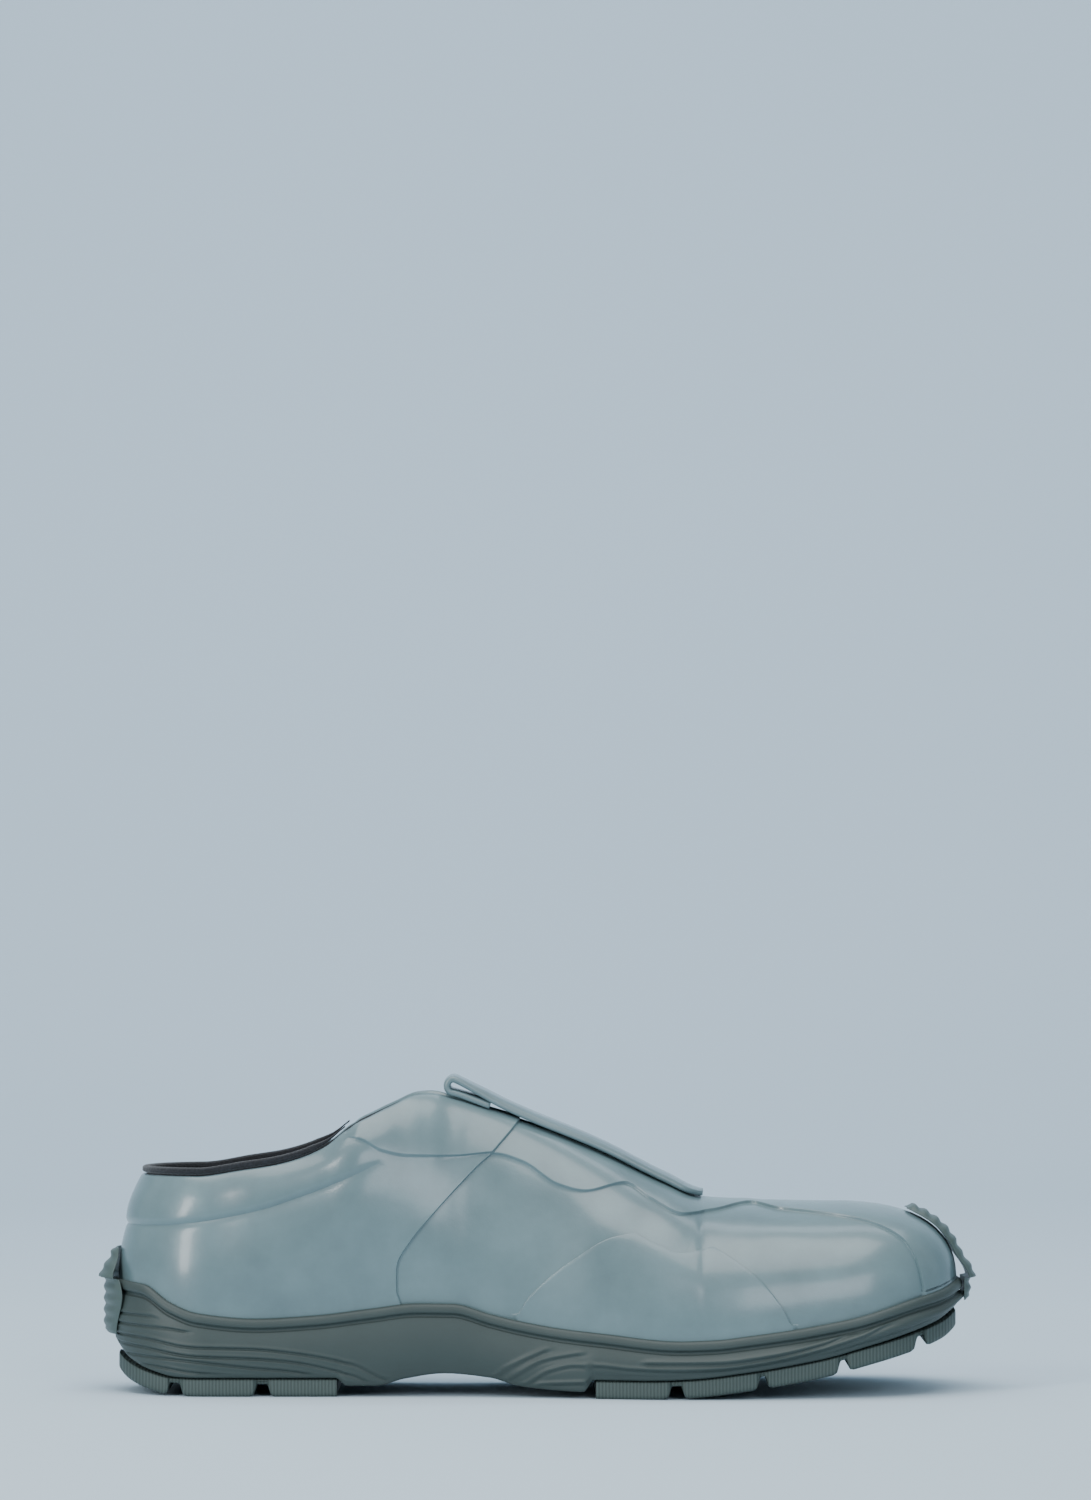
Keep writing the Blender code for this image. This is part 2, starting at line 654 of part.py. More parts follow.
def make_sole(collection, material):
    body = Body()
    rings = []
    for inset, height in side_rows():
        def spot(share, side, inset=inset, height=height):
            station = Station(share, side)
            flat = station.point(inset(station.rim.x), 0)
            return Vector((flat.x, flat.y, height(flat.x)))
        rings.append(ring(spot))
    for first, second in zip(rings, rings[1:]):
        body.strip(first, second, closed=True)
    cap_ring(body, rings[0])
    cap_ring(body, rings[-1])
    return body.build("sole", collection, material, 30)


def make_insole(collection, material):
    body = Body()
    rim = LIP_INSET + UPPER_WALL + 2 * GAP
    levels = ((CORE_INSET, 0.0), (rim, 0.0), (rim, 0.7), (rim + INSOLE_ROUND, 1.0), (CORE_INSET, 1.0))
    rings = []
    for inset, level in levels:
        def spot(share, side, inset=inset, level=level):
            flat = Station(share, side).point(inset, 0)
            return Vector((flat.x, flat.y, floor_height(flat.x) + GAP + INSOLE_THICKNESS * level))
        rings.append(ring(spot))
    for first, second in zip(rings, rings[1:]):
        body.strip(first, second, closed=True)
    cap_ring(body, rings[0])
    cap_ring(body, rings[-1])
    return body.build("insole", collection, material)


def rim_y(x, side, inset):
    """Y of the sole's outline, drawn in by an inset."""
    if x < HEEL_AXIS:
        part = min((HEEL_AXIS - x) / (HEEL_RADIUS - inset), 1.0)
        pinch = math.sqrt(1 - part ** 2)
    elif x > TOE_AXIS:
        part = min((x - TOE_AXIS) / (TOE_REACH - inset), 1.0)
        pinch = (1 - part ** TOE_SQUARENESS) ** (1 / TOE_SQUARENESS)
    else:
        pinch = 1.0
    return centre_line(x) + side * (half_width(x, side) - inset) * pinch


def make_tread(name, start, end, grooves, collection, material):
    """A lugged tread: sections from its rear end to its front end, thinned at the grooves."""
    inset = TREAD_INSET
    stops = {}
    count = round((end - start) / TREAD_STATION)
    for i in range(count + 1):
        turn = math.pi * i / count
        stops[start + (end - start) * (1 - math.cos(turn)) / 2] = 0.0
    for low, high in grooves:
        low, high = along(low), along(high)
        for x in [x for x in stops if low - GROOVE_SLOPE < x < high + GROOVE_SLOPE]:
            del stops[x]
        stops.update({low: 0.0, low + GROOVE_SLOPE: 1.0, high - GROOVE_SLOPE: 1.0, high: 0.0})
    body = Body()
    sections = []
    for x in sorted(stops):
        top = underside_height(x) - GAP
        bottom = ground_height(x)
        bottom += (top - TREAD_WEB - bottom) * stops[x]
        bottom = min(bottom, top - TREAD_LEAST)
        chamfer = min(TREAD_CHAMFER, (top - bottom) / 3)
        section = []
        for side in (-1, 1):
            edge = [Vector((x, rim_y(x, side, inset), top)),
                    Vector((x, rim_y(x, side, inset), bottom + chamfer)),
                    Vector((x, rim_y(x, side, inset + chamfer), bottom))]
            section += edge if side < 0 else edge[::-1]
        sections.append(section)
    for first, second in zip(sections, sections[1:]):
        body.strip(first, second, closed=True)
    body.face(*sections[0])
    body.face(*sections[-1])
    return body.build(name, collection, material, 30)


def skin_spot(x, y):
    """Point and outward normal of the upper's base skin over a spot near the ridge."""
    side = -1 if y < centre_line(x) else 1
    across = abs(y - centre_line(x))
    share = share_of(x)
    if across <= opening_half(x):
        normal = upper_normal(share, side, 1.0) + upper_normal(share, -side, 1.0)
        return Vector((x, y, top_height(x))), Vector((normal.x, 0, normal.z)).normalized()
    low, high = 0.4, 1.0
    for _ in range(20):
        middle = (low + high) / 2
        if abs(upper_point(share, side, middle).y - centre_line(x)) > across:
            low = middle
        else:
            high = middle
    return upper_point(share, side, low), upper_normal(share, side, low)


def make_gore(collection, material):
    """The elastic piece under the throat slot, hung just inside the upper."""
    body = Body()
    across = (-1.0, -0.8, -0.6, -0.4, -0.15, 0.15, 0.4, 0.6, 0.8, 1.0)
    count = 18
    tops, bottoms = [], []
    for i in range(count + 1):
        x = along(GORE_START + (GORE_END - GORE_START) * i / count)
        top, bottom = [], []
        for part in across:
            spot, normal = skin_spot(x, centre_line(x) + GORE_HALF * part)
            top.append(spot - normal * (UPPER_WALL + GORE_DROP))
            bottom.append(spot - normal * (UPPER_WALL + GORE_DROP + GORE_THICKNESS))
        tops.append(top)
        bottoms.append(bottom)
    for rows in (tops, bottoms):
        for first, second in zip(rows, rows[1:]):
            body.strip(first, second)
    for edge in (0, -1):
        body.strip([row[edge] for row in tops], [row[edge] for row in bottoms])
        body.strip(tops[edge], bottoms[edge])
    return body.build("gore", collection, material)


def strap_path():
    """Middle line of the strap, from its under layer round the loop to its tip: x and height."""
    half = STRAP_THICKNESS / 2
    path = []
    count = 4
    for i in range(count + 1):
        x = along(STRAP_FOLD_END + (STRAP_START - STRAP_FOLD_END) * i / count)
        path.append((x, top_height(x) + OVERLAY + STRAP_CLEARANCE + half))
    low = path[-1][1]
    x = along(STRAP_START)
    high = low + STRAP_THICKNESS * read_table(STRAP_LIFT, STRAP_START)
    turns = 6
    for i in range(1, turns):
        turn = math.pi * i / turns
        radius = (high - low) / 2
        path.append((x - radius * math.sin(turn), (high + low) / 2 - radius * math.cos(turn)))
    count = 16
    for i in range(count + 1):
        at = STRAP_START + (STRAP_TIP - STRAP_START) * i / count
        x = along(at)
        lift = STRAP_THICKNESS * read_table(STRAP_LIFT, at)
        path.append((x, top_height(x) + OVERLAY + STRAP_CLEARANCE + half + lift))
    return path


def make_strap(collection, material):
    body = Body()
    path = strap_path()
    across = (-1.0, -0.94, -0.5, 0.0, 0.5, 0.94, 1.0)
    sections = []
    for i, (x, z) in enumerate(path):
        before, after = path[max(i - 1, 0)], path[min(i + 1, len(path) - 1)]
        forward = Vector((after[0] - before[0], 0, after[1] - before[1])).normalized()
        outward = Vector((-forward.z, 0, forward.x))
        taper = 1 - STRAP_TAPER * blend(along(STRAP_TIP - STRAP_TAPER_RUN), along(STRAP_TIP), x)
        top, bottom = [], []
        for part in across:
            y = centre_line(x) + STRAP_HALF * taper * part
            under = max(x, along(STRAP_START))
            drop = min(skin_spot(under, y)[0].z - top_height(under), 0.0)
            drop *= blend(along(STRAP_START), along(0.46), x) * 0.7 + 0.3
            half = STRAP_THICKNESS / 2 * (0.55 if abs(part) == 1 else 1.0)
            middle = Vector((x, y, z + drop))
            top.append(middle + outward * half)
            bottom.append(middle - outward * half)
        sections.append(top + bottom[::-1])
    for first, second in zip(sections, sections[1:]):
        body.strip(first, second, closed=True)
    for section in (sections[0], sections[-1]):
        count = len(section)
        for i in range(count // 2 - 1):
            body.face(section[i], section[i + 1], section[count - i - 2], section[count - i - 1])
    return body.build("pull_strap", collection, material)


def make_binding(collection, material):
    """The textile roll on the collar's edge, round the heel from eyestay to eyestay."""
    route = []
    for side in (-1, 1):
        points = []
        for share in SHARES:
            leaned = leaned_share(share, side, 1.0)
            spot = upper_point(leaned, side, 1.0)
            if place(spot.x) > BINDING_END or share == 0 and side > 0:
                continue
            inward = Station(leaned, side).inward
            lift = Vector((0, 0, BINDING_RADIUS + 2 * GAP + OVERLAY / 2))
            points.append(spot + inward * UPPER_WALL / 2 + lift)
        route = points[::-1] if side < 0 else route + points
    curve = bpy.data.curves.new("collar_binding", "CURVE")
    curve.dimensions = "3D"
    curve.bevel_depth = BINDING_RADIUS
    curve.bevel_resolution = 1
    curve.use_fill_caps = True
    spline = curve.splines.new("POLY")
    spline.points.add(len(route) - 1)
    for target, point in zip(spline.points, route):
        target.co = (*point, 1)
    curve.materials.append(material)
    piece = bpy.data.objects.new("collar_binding", curve)
    collection.objects.link(piece)
    return piece


def share_across(end, side, across, spot):
    """Share near the heel (0) or toe (1) where a row stands a width away from the middle line."""
    low, high = (0.0, HEEL_SHARE) if end == 0 else (1.0, TOE_SHARE)
    for _ in range(24):
        middle = (low + high) / 2
        point = spot(middle, side)
        if abs(point.y - centre_line(point.x)) < across:
            low = middle
        else:
            high = middle
    return (low + high) / 2


def make_guard(name, end, foot_z, top_rise, widths, widest, collection, material):
    """A nubbed rubber strip up the end of the shoe: over the cup sole's side, then over the upper."""
    rim_x = -SOLE_HALF if end == 0 else SOLE_HALF
    lip = edge_height(rim_x)
    levels = []
    count = max(2 * round((lip - foot_z) / NUB_PITCH), 2)
    for i in range(count + 1):
        levels.append(("sole", foot_z + (lip - foot_z) * i / count))
    length = 0.0
    climb = []
    steps = 60
    previous = upper_point(end, -1, 0.0)
    for i in range(1, steps + 1):
        rise = top_rise * i / steps
        spot = upper_point(end, -1, rise)
        length += (spot - previous).length
        climb.append((length, rise))
        previous = spot
    count = 2 * round(length / NUB_PITCH)
    for i in range(1, count + 1):
        wanted = length * i / count
        levels.append(("upper", min(climb, key=lambda entry: abs(entry[0] - wanted))[1]))

    def base(kind, level, share, side):
        station = Station(share, side)
        on_rim = station.point(-GAP, level if kind == "sole" else lip)
        if kind == "sole":
            return on_rim, -station.inward
        normal = upper_normal(share, side, level)
        on_skin = upper_point(share, side, level) + normal * (OVERLAY * 2 + GAP)
        near = 1 - blend(0.0, 0.22, level)
        clear = on_skin - station.inward * near * LIP_INSET
        return clear, (normal - station.inward * near).normalized()

    across = (-1.0, -0.8, -0.4, 0.0, 0.4, 0.8, 1.0)
    outer_skin, inner_skin = [], []
    for i, (kind, level) in enumerate(levels):
        part = i / (len(levels) - 1)
        half = widest * read_table(widths, part)
        outer, inner = [], []
        for place_across in across:
            side = -1 if place_across < 0 else 1
            width = abs(place_across) * half
            share = share_across(end, side, width, lambda s, d: base(kind, level, s, d)[0])
            if place_across == 0:
                share = float(end)
            spot, normal = base(kind, level, share, side)
            rim_taper = 0.35 if abs(place_across) == 1 else 1.0
            nub = NUB if i % 2 and abs(place_across) < 1 else 0.0
            end_taper = 0.55 if i in (0, len(levels) - 1) else 1.0
            outer.append(spot + normal * (GUARD_THICKNESS - nub) * rim_taper * end_taper)
            inner.append(spot)
        outer_skin.append(outer)
        inner_skin.append(inner)
    body = Body()
    for rows in (outer_skin, inner_skin):
        for first, second in zip(rows, rows[1:]):
            body.strip(first, second)
    for edge in (0, -1):
        body.strip([row[edge] for row in outer_skin], [row[edge] for row in inner_skin])
        body.strip(outer_skin[edge], inner_skin[edge])
    return body.build(name, collection, material, 30)


def main():
    for piece in list(bpy.data.objects):
        bpy.data.objects.remove(piece)
    collection = bpy.data.collections.new("slip_on_shoe")
    bpy.context.scene.collection.children.link(collection)

    leather = paint("polished_leather", (0.155, 0.215, 0.225), 0.32)
    rubber = paint("moulded_rubber", (0.050, 0.070, 0.070), 0.55)
    tread = paint("tread_rubber", (0.065, 0.088, 0.085), 0.70)
    foam = paint("footbed_foam", (0.015, 0.017, 0.020), 0.90)
    elastic = paint("black_elastic", (0.010, 0.011, 0.014), 0.85)

    make_upper(collection, leather)
    make_sole(collection, rubber)
    tread_half = SOLE_HALF - TREAD_INSET - TREAD_TIP
    make_tread("heel_tread", -tread_half, along(HEEL_TREAD_END), HEEL_GROOVES, collection, tread)
    make_tread("forefoot_tread", along(FOREFOOT_TREAD_START), tread_half, FOREFOOT_GROOVES, collection, tread)
    make_insole(collection, foam)
    make_gore(collection, elastic)
    make_strap(collection, leather)
    make_binding(collection, elastic)
    tab_foot = underside_height(-SOLE_HALF) + TAB_FOOT
    guard_foot = underside_height(SOLE_HALF) + GUARD_FOOT
    make_guard("heel_tab", 0, tab_foot, TAB_TOP, TAB_WIDTHS, TAB_HALF, collection, rubber)
    make_guard("toe_guard", 1, guard_foot, GUARD_TOP, GUARD_WIDTHS, GUARD_HALF, collection, rubber)


main()
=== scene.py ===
import math

import bmesh
import bpy
import numpy as np
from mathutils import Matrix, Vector


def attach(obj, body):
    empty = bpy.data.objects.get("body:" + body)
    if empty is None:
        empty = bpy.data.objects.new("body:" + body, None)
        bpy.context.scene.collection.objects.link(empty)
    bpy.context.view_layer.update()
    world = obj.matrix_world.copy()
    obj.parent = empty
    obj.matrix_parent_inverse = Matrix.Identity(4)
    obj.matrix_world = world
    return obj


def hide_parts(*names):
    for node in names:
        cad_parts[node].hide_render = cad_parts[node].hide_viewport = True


# The looks of a low leather slip-on shoe on a stitched rubber cup sole.
# Metres; toe towards +X, outer side towards -Y, up +Z, standing on z = 0.

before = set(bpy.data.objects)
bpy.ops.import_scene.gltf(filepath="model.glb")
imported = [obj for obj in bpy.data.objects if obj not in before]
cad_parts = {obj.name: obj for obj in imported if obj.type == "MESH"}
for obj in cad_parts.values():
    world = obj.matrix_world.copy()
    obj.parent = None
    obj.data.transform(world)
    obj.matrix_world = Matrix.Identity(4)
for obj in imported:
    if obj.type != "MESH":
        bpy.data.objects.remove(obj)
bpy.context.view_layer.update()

# Sizes of the shoe, as its solids have them
LENGTH = 0.3000
BALL_WIDTH = 0.1040
HEEL_RADIUS = 0.0360
TOE_REACH = 0.0450
TOE_SWING = 0.0060
SWING_SHARE = 0.53
INSTEP_HEIGHT = 0.1010
HEEL_HEIGHT = 0.0740
TOE_HEIGHT = 0.0640
COLLAR_HALF = 0.0265
SLOT_HALF = 0.0100
EDGE_HEIGHT = 0.0266
FOOTBED_HEIGHT = 0.0195
ARCH_HEIGHT = 0.0079
TOE_SPRING = 0.0240
TREAD_DEPTH = 0.0060
LIP_INSET = 0.0036
STITCH_DROP = 0.0042
STITCH_GROOVE = 0.0016
STITCH_DEPTH = 0.0011
UPPER_WALL = 0.0020
OVERLAY = 0.0009
COLLAR_PAD = 0.0016
INSOLE_THICKNESS = 0.0040
GORE_HALF = 0.0190
GORE_DROP = 0.0012
STRAP_HALF = 0.0130
STRAP_THICKNESS = 0.0024
STRAP_CLEARANCE = 0.0017
BINDING_RADIUS = 0.0013
GUARD_THICKNESS = 0.0022
NUB = 0.0007
NUB_PITCH = 0.0039
GUARD_HALF = 0.0120
TAB_HALF = 0.0190
GAP = 0.0003

WIDTHS = (
    (0.00, 0.68, 0.68), (0.12, 0.69, 0.69), (0.22, 0.69, 0.67), (0.32, 0.68, 0.60), (0.41, 0.69, 0.56),
    (0.49, 0.76, 0.61), (0.57, 0.88, 0.76), (0.65, 0.98, 0.91), (0.72, 1.01, 0.98), (0.80, 0.98, 0.98),
    (0.88, 0.94, 0.96), (1.00, 0.90, 0.94),
)
EDGE = (
    (0.00, 1.46), (0.045, 1.42), (0.079, 1.20), (0.112, 1.07), (0.18, 1.00), (0.247, 1.04), (0.313, 1.13),
    (0.363, 1.195), (0.403, 1.19), (0.447, 1.06), (0.48, 0.975), (0.525, 0.89), (0.571, 0.835), (0.66, 0.745),
    (0.70, 0.76), (0.739, 0.81), (0.796, 0.895), (0.829, 0.96), (0.865, 1.04), (0.90, 1.15), (0.931, 1.25),
    (0.965, 1.34), (1.00, 1.46),
)
FLOOR = (
    (0.00, 1.04), (0.10, 1.00), (0.30, 1.00), (0.39, 1.03), (0.50, 0.87), (0.65, 0.69), (0.75, 0.78),
    (0.83, 0.97), (0.93, 1.34), (1.00, 1.52),
)
GROUND = (
    (0.00, 0.62), (0.012, 0.42), (0.03, 0.22), (0.055, 0.09), (0.085, 0.01), (0.11, 0.00), (0.62, 0.00),
    (0.67, 0.02), (0.74, 0.12), (0.82, 0.29), (0.87, 0.45), (0.92, 0.62), (0.96, 0.78), (1.00, 1.00),
)
ARCH = (
    (0.283, 0.47), (0.317, 0.47), (0.35, 0.78), (0.394, 1.00), (0.446, 0.83), (0.48, 0.48), (0.52, 0.33),
    (0.552, 0.28),
)
ARCH_START, ARCH_END, ARCH_STEP = 0.283, 0.552, 0.012
TOP_LINE = (
    (0.00, 0.733), (0.11, 0.733), (0.167, 0.757), (0.20, 0.772), (0.229, 0.795), (0.259, 0.835),
    (0.283, 0.890), (0.311, 0.932), (0.337, 0.968), (0.363, 0.998), (0.376, 1.00), (0.403, 0.980),
    (0.43, 0.956), (0.465, 0.925), (0.51, 0.879), (0.572, 0.804), (0.645, 0.701), (0.69, 0.648),
    (0.733, 0.641),
)
RIDGE = ((0.733, 1.012), (0.76, 1.003), (0.85, 0.995), (1.00, 1.00))
RIDGE_START = 0.733
OPENING = ((0.00, 0.90), (0.13, 0.92), (0.18, 0.99), (0.24, 1.00), (0.29, 0.95), (0.32, 0.82), (0.35, 0.64),
           (0.375, 0.50), (0.40, 0.42))
SLOT = ((0.40, 1.11), (0.45, 1.00), (0.55, 0.80), (0.66, 0.60), (0.68, 0.40), (0.69, 0.00))
SLOT_START = 0.40
STANCE = (
    (0.00, 0.84, 0.40, 0.45, 0.00), (0.15, 0.80, 0.45, 0.45, 0.07), (0.25, 0.70, 0.45, 0.42, 0.08),
    (0.34, 0.45, 0.45, 0.40, 0.06), (0.42, 0.20, 0.48, 0.42, 0.05), (0.50, 0.10, 0.50, 0.46, 0.05),
    (0.60, 0.05, 0.55, 0.52, 0.05), (0.70, 0.02, 0.62, 0.56, 0.04), (0.80, 0.00, 0.64, 0.60, 0.03),
    (1.00, 0.00, 0.60, 0.74, 0.00),
)
EYESTAY_EDGE = (
    (0.290, 0.860), (0.323, 0.822), (0.350, 0.808), (0.404, 0.804), (0.450, 0.812), (0.483, 0.785),
    (0.523, 0.712), (0.555, 0.689), (0.598, 0.712), (0.630, 0.658), (0.667, 0.608), (0.702, 0.617),
    (0.743, 0.636), (0.778, 0.618), (0.818, 0.607), (0.868, 0.586), (0.887, 0.570), (0.902, 0.550),
    (0.916, 0.521), (0.926, 0.482), (0.932, 0.440), (0.938, 0.355), (0.942, 0.200), (0.946, 0.000),
)
EYESTAY_START = 0.288
COLLAR_EDGE = ((0.00, 0.775), (0.076, 0.781), (0.119, 0.801), (0.184, 0.854), (0.23, 0.915), (0.263, 0.965),
               (0.313, 1.057), (0.34, 1.108))
COLLAR_END = 0.335
PATCH_EDGE = (
    (0.465, 0.36), (0.49, 0.527), (0.536, 0.716), (0.588, 0.848), (0.626, 0.875), (0.661, 0.864),
    (0.691, 0.817), (0.724, 0.725), (0.753, 0.617), (0.774, 0.497), (0.797, 0.33),
)
PATCH_START, PATCH_END = 0.470, 0.792
QUARTER_EDGE = ((0.31, 0.345), (0.355, 0.340), (0.435, 0.340), (0.53, 0.357), (0.607, 0.379), (0.70, 0.408),
                (0.786, 0.437), (0.817, 0.450), (1.00, 0.490))
QUARTER_FOOT = 0.345
QUARTER_SPREAD = 0.280
HEEL_GROOVES = ((0.078, 0.098), (0.177, 0.198))
FOREFOOT_GROOVES = ((0.647, 0.667), (0.747, 0.762), (0.838, 0.854), (0.927, 0.943))
HEEL_TREAD_END = 0.272
FOREFOOT_TREAD_START = 0.566
STRAP_LIFT = ((0.395, 2.05), (0.43, 1.40), (0.47, 0.45), (0.51, 0.05), (0.55, 0.00))
STRAP_START, STRAP_FOLD_END, STRAP_TIP = 0.404, 0.445, 0.690
GORE_START, GORE_END = 0.392, 0.715
BINDING_END = 0.283

HALF_LENGTH = LENGTH / 2
SOLE_HALF = HALF_LENGTH - GUARD_THICKNESS - GAP
HEEL_AXIS = -SOLE_HALF + HEEL_RADIUS
TOE_AXIS = SOLE_HALF - TOE_REACH
HEEL_SHARE = 0.17
TOE_SHARE = 0.82
TOE_SQUARENESS = 2.3
OUTER, INNER = -1, 1        # the two sides of the foot


def read(table, at, column=1):
    """Smooth values of a table's column at places, held flat past both ends."""
    keys = np.array([row[0] for row in table])
    values = np.array([row[column] for row in table])
    spans = np.diff(keys)
    rates = np.diff(values) / spans
    slopes = np.zeros(len(keys))
    turning = rates[:-1] * rates[1:] > 0
    slopes[1:-1][turning] = (2 * rates[:-1] * rates[1:])[turning] / (rates[:-1] + rates[1:])[turning]
    at = np.clip(np.asarray(at, float), keys[0], keys[-1])
    row = np.clip(np.searchsorted(keys, at, side="right") - 1, 0, len(spans) - 1)
    t = (at - keys[row]) / spans[row]
    return (values[row] * (2 * t ** 3 - 3 * t ** 2 + 1) + slopes[row] * spans[row] * (t ** 3 - 2 * t ** 2 + t)
            + values[row + 1] * (3 * t ** 2 - 2 * t ** 3) + slopes[row + 1] * spans[row] * (t ** 3 - t ** 2))


def blend(low, high, value):
    """Smooth step from 0 to 1 between two values."""
    t = np.clip((value - low) / (high - low), 0.0, 1.0)
    return t * t * (3 - 2 * t)


def place(x):
    return (x + HALF_LENGTH) / LENGTH


def along(share):
    return share * LENGTH - HALF_LENGTH


def centre_line(x):
    return TOE_SWING * (blend(along(0.45), along(0.95), x) - SWING_SHARE)


def half_width(x, side):
    return BALL_WIDTH / 2 * read(WIDTHS, place(x), 1 if side == OUTER else 2)


def edge_height(x):
    return EDGE_HEIGHT * read(EDGE, place(x))


def floor_height(x):
    return FOOTBED_HEIGHT * read(FLOOR, place(x))


def ground_height(x):
    return TOE_SPRING * read(GROUND, place(x))


def underside_height(x):
    at = place(x)
    over_tread = ground_height(x) + TREAD_DEPTH + GAP
    arch = ARCH_HEIGHT * read(ARCH, at)
    in_arch = blend(ARCH_START - ARCH_STEP, ARCH_START, at) * (1 - blend(ARCH_END, ARCH_END + ARCH_STEP, at))
    return over_tread + (arch - over_tread) * in_arch


def top_height(x):
    at = place(x)
    return np.where(at < RIDGE_START, INSTEP_HEIGHT * read(TOP_LINE, at), TOE_HEIGHT * read(RIDGE, at))


def opening_half(x):
    at = place(x)
    return np.where(at < SLOT_START, COLLAR_HALF * read(OPENING, at), SLOT_HALF * read(SLOT, at))


def share_of(x):
    return HEEL_SHARE + (TOE_SHARE - HEEL_SHARE) * (x - HEEL_AXIS) / (TOE_AXIS - HEEL_AXIS)


class Side:
    """One side of the shoe: its outline, and the skin of the upper from the sole to the ridge."""

    def __init__(self, side):
        self.side = side
        share = np.linspace(0, 1, 2401)
        heel = share < HEEL_SHARE
        toe = share > TOE_SHARE
        quarter_turn = math.pi / 2
        heel_turn = share / HEEL_SHARE * quarter_turn
        toe_turn = np.clip((share - TOE_SHARE) / (1 - TOE_SHARE), 0, 1) * quarter_turn
        middle = HEEL_AXIS + (TOE_AXIS - HEEL_AXIS) * (share - HEEL_SHARE) / (TOE_SHARE - HEEL_SHARE)
        toe_x = TOE_AXIS + TOE_REACH * np.sin(toe_turn) ** (2 / TOE_SQUARENESS)
        x = np.where(heel, HEEL_AXIS - HEEL_RADIUS * np.cos(heel_turn), np.where(toe, toe_x, middle))
        toe_pinch = np.clip(np.cos(toe_turn), 0, 1) ** (2 / TOE_SQUARENESS)
        toe_pinch[-1] = 0.0
        pinch = np.where(heel, np.sin(heel_turn), np.where(toe, toe_pinch, 1.0))
        axis_x = np.where(heel, HEEL_AXIS, np.where(toe, TOE_AXIS, x))
        y = centre_line(x) + side * half_width(x, side) * pinch
        reach_x, reach_y = axis_x - x, centre_line(axis_x) - y
        reach = np.hypot(reach_x, reach_y)
        self.share = share
        self.columns = {
            "x": x, "y": y, "reach": reach, "in_x": reach_x / reach, "in_y": reach_y / reach, "axis": axis_x,
        }
        foot_z = edge_height(x)
        top_inset = reach - opening_half(axis_x)
        top_z = top_height(x + reach_x / reach * top_inset)
        at = place(x)
        lean = read(STANCE, at, 1) * quarter_turn
        rise = top_z - foot_z
        span = np.maximum((top_inset - LIP_INSET) * np.cos(lean), rise * np.sin(lean))
        handle = span * read(STANCE, at, 3)
        self.curve = (
            (np.full_like(x, LIP_INSET), foot_z),
            (LIP_INSET - rise * read(STANCE, at, 4), foot_z + rise * read(STANCE, at, 2)),
            (top_inset - handle * np.cos(lean), top_z - handle * np.sin(lean)),
            (top_inset, top_z),
        )

    def column(self, name, share):
        return np.interp(share, self.share, self.columns[name])

    def rim(self, share, inset, height):
        """Point at an inset from the sole's outline."""
        return np.stack([
            self.column("x", share) + self.column("in_x", share) * inset,
            self.column("y", share) + self.column("in_y", share) * inset,
            np.broadcast_to(height, np.shape(share + inset)),
        ], -1)

    def skin(self, share, rise):
        """Point of the upper's base skin: rise 0 at the sole, 1 at the collar, slot or ridge."""
        share = np.clip(share, 0, 1)
        t = rise
        weights = ((1 - t) ** 3, 3 * t * (1 - t) ** 2, 3 * t * t * (1 - t), t ** 3)
        inset = sum(w * np.interp(share, self.share, p[0]) for w, p in zip(weights, self.curve))
        height = sum(w * np.interp(share, self.share, p[1]) for w, p in zip(weights, self.curve))
        return self.rim(share, inset, height)

    def raw_normal(self, share, rise):
        step = 0.003
        here = np.clip(share, step, 1 - step)
        up = np.clip(rise, step, 1 - step)
        forward = self.skin(here + step, up) - self.skin(here - step, up)
        upward = self.skin(here, up + step) - self.skin(here, up - step)
        normal = np.cross(forward, upward) * -self.side
        return normal / np.linalg.norm(normal, axis=-1, keepdims=True)

    def normal(self, share, rise):
        """Outward normal, the same for both sides at the heel, the toe and the ridge."""
        share, rise = np.broadcast_arrays(share, rise)
        mine = self.raw_normal(share, rise)
        both = mine + SIDES[-self.side].raw_normal(share, rise)
        both[..., 1] = 0.0
        closed = (rise >= 1) & (opening_half(self.column("axis", share)) <= 0)
        both[(rise >= 1) & (share >= TOE_SHARE)] = (0, 0, 1)
        middle = closed | (share < 0.003) | (share > 0.997)
        mixed = np.where(middle[..., None], both, mine)
        return mixed / np.linalg.norm(mixed, axis=-1, keepdims=True)


SIDES = {}
for hand in (OUTER, INNER):
    SIDES[hand] = Side(hand)


def quarter_leans(side):
    """How far the rear quarter's edge has moved forwards at each rise, in shares."""
    foot = share_of(along(QUARTER_FOOT))
    rises = np.linspace(0, 1, 41)
    moved = np.zeros_like(rises)
    for _ in range(6):
        heights = SIDES[side].skin(foot + moved, rises)[:, 2]
        moved = share_of(along(read(QUARTER_EDGE, heights / INSTEP_HEIGHT))) - foot
    return rises, moved


LEANS = {side: quarter_leans(side) for side in SIDES}


def leaned(share, side, rise):
    """Share of a column at a rise, where it leans with the quarter's edge."""
    spread = (TOE_SHARE - HEEL_SHARE) * QUARTER_SPREAD * LENGTH / (TOE_AXIS - HEEL_AXIS)
    away = np.clip(np.abs(share - share_of(along(QUARTER_FOOT))) / spread, 0, 1)
    weight = (1 + np.cos(np.pi * away)) / 2
    return share + weight * np.interp(rise, *LEANS[side])


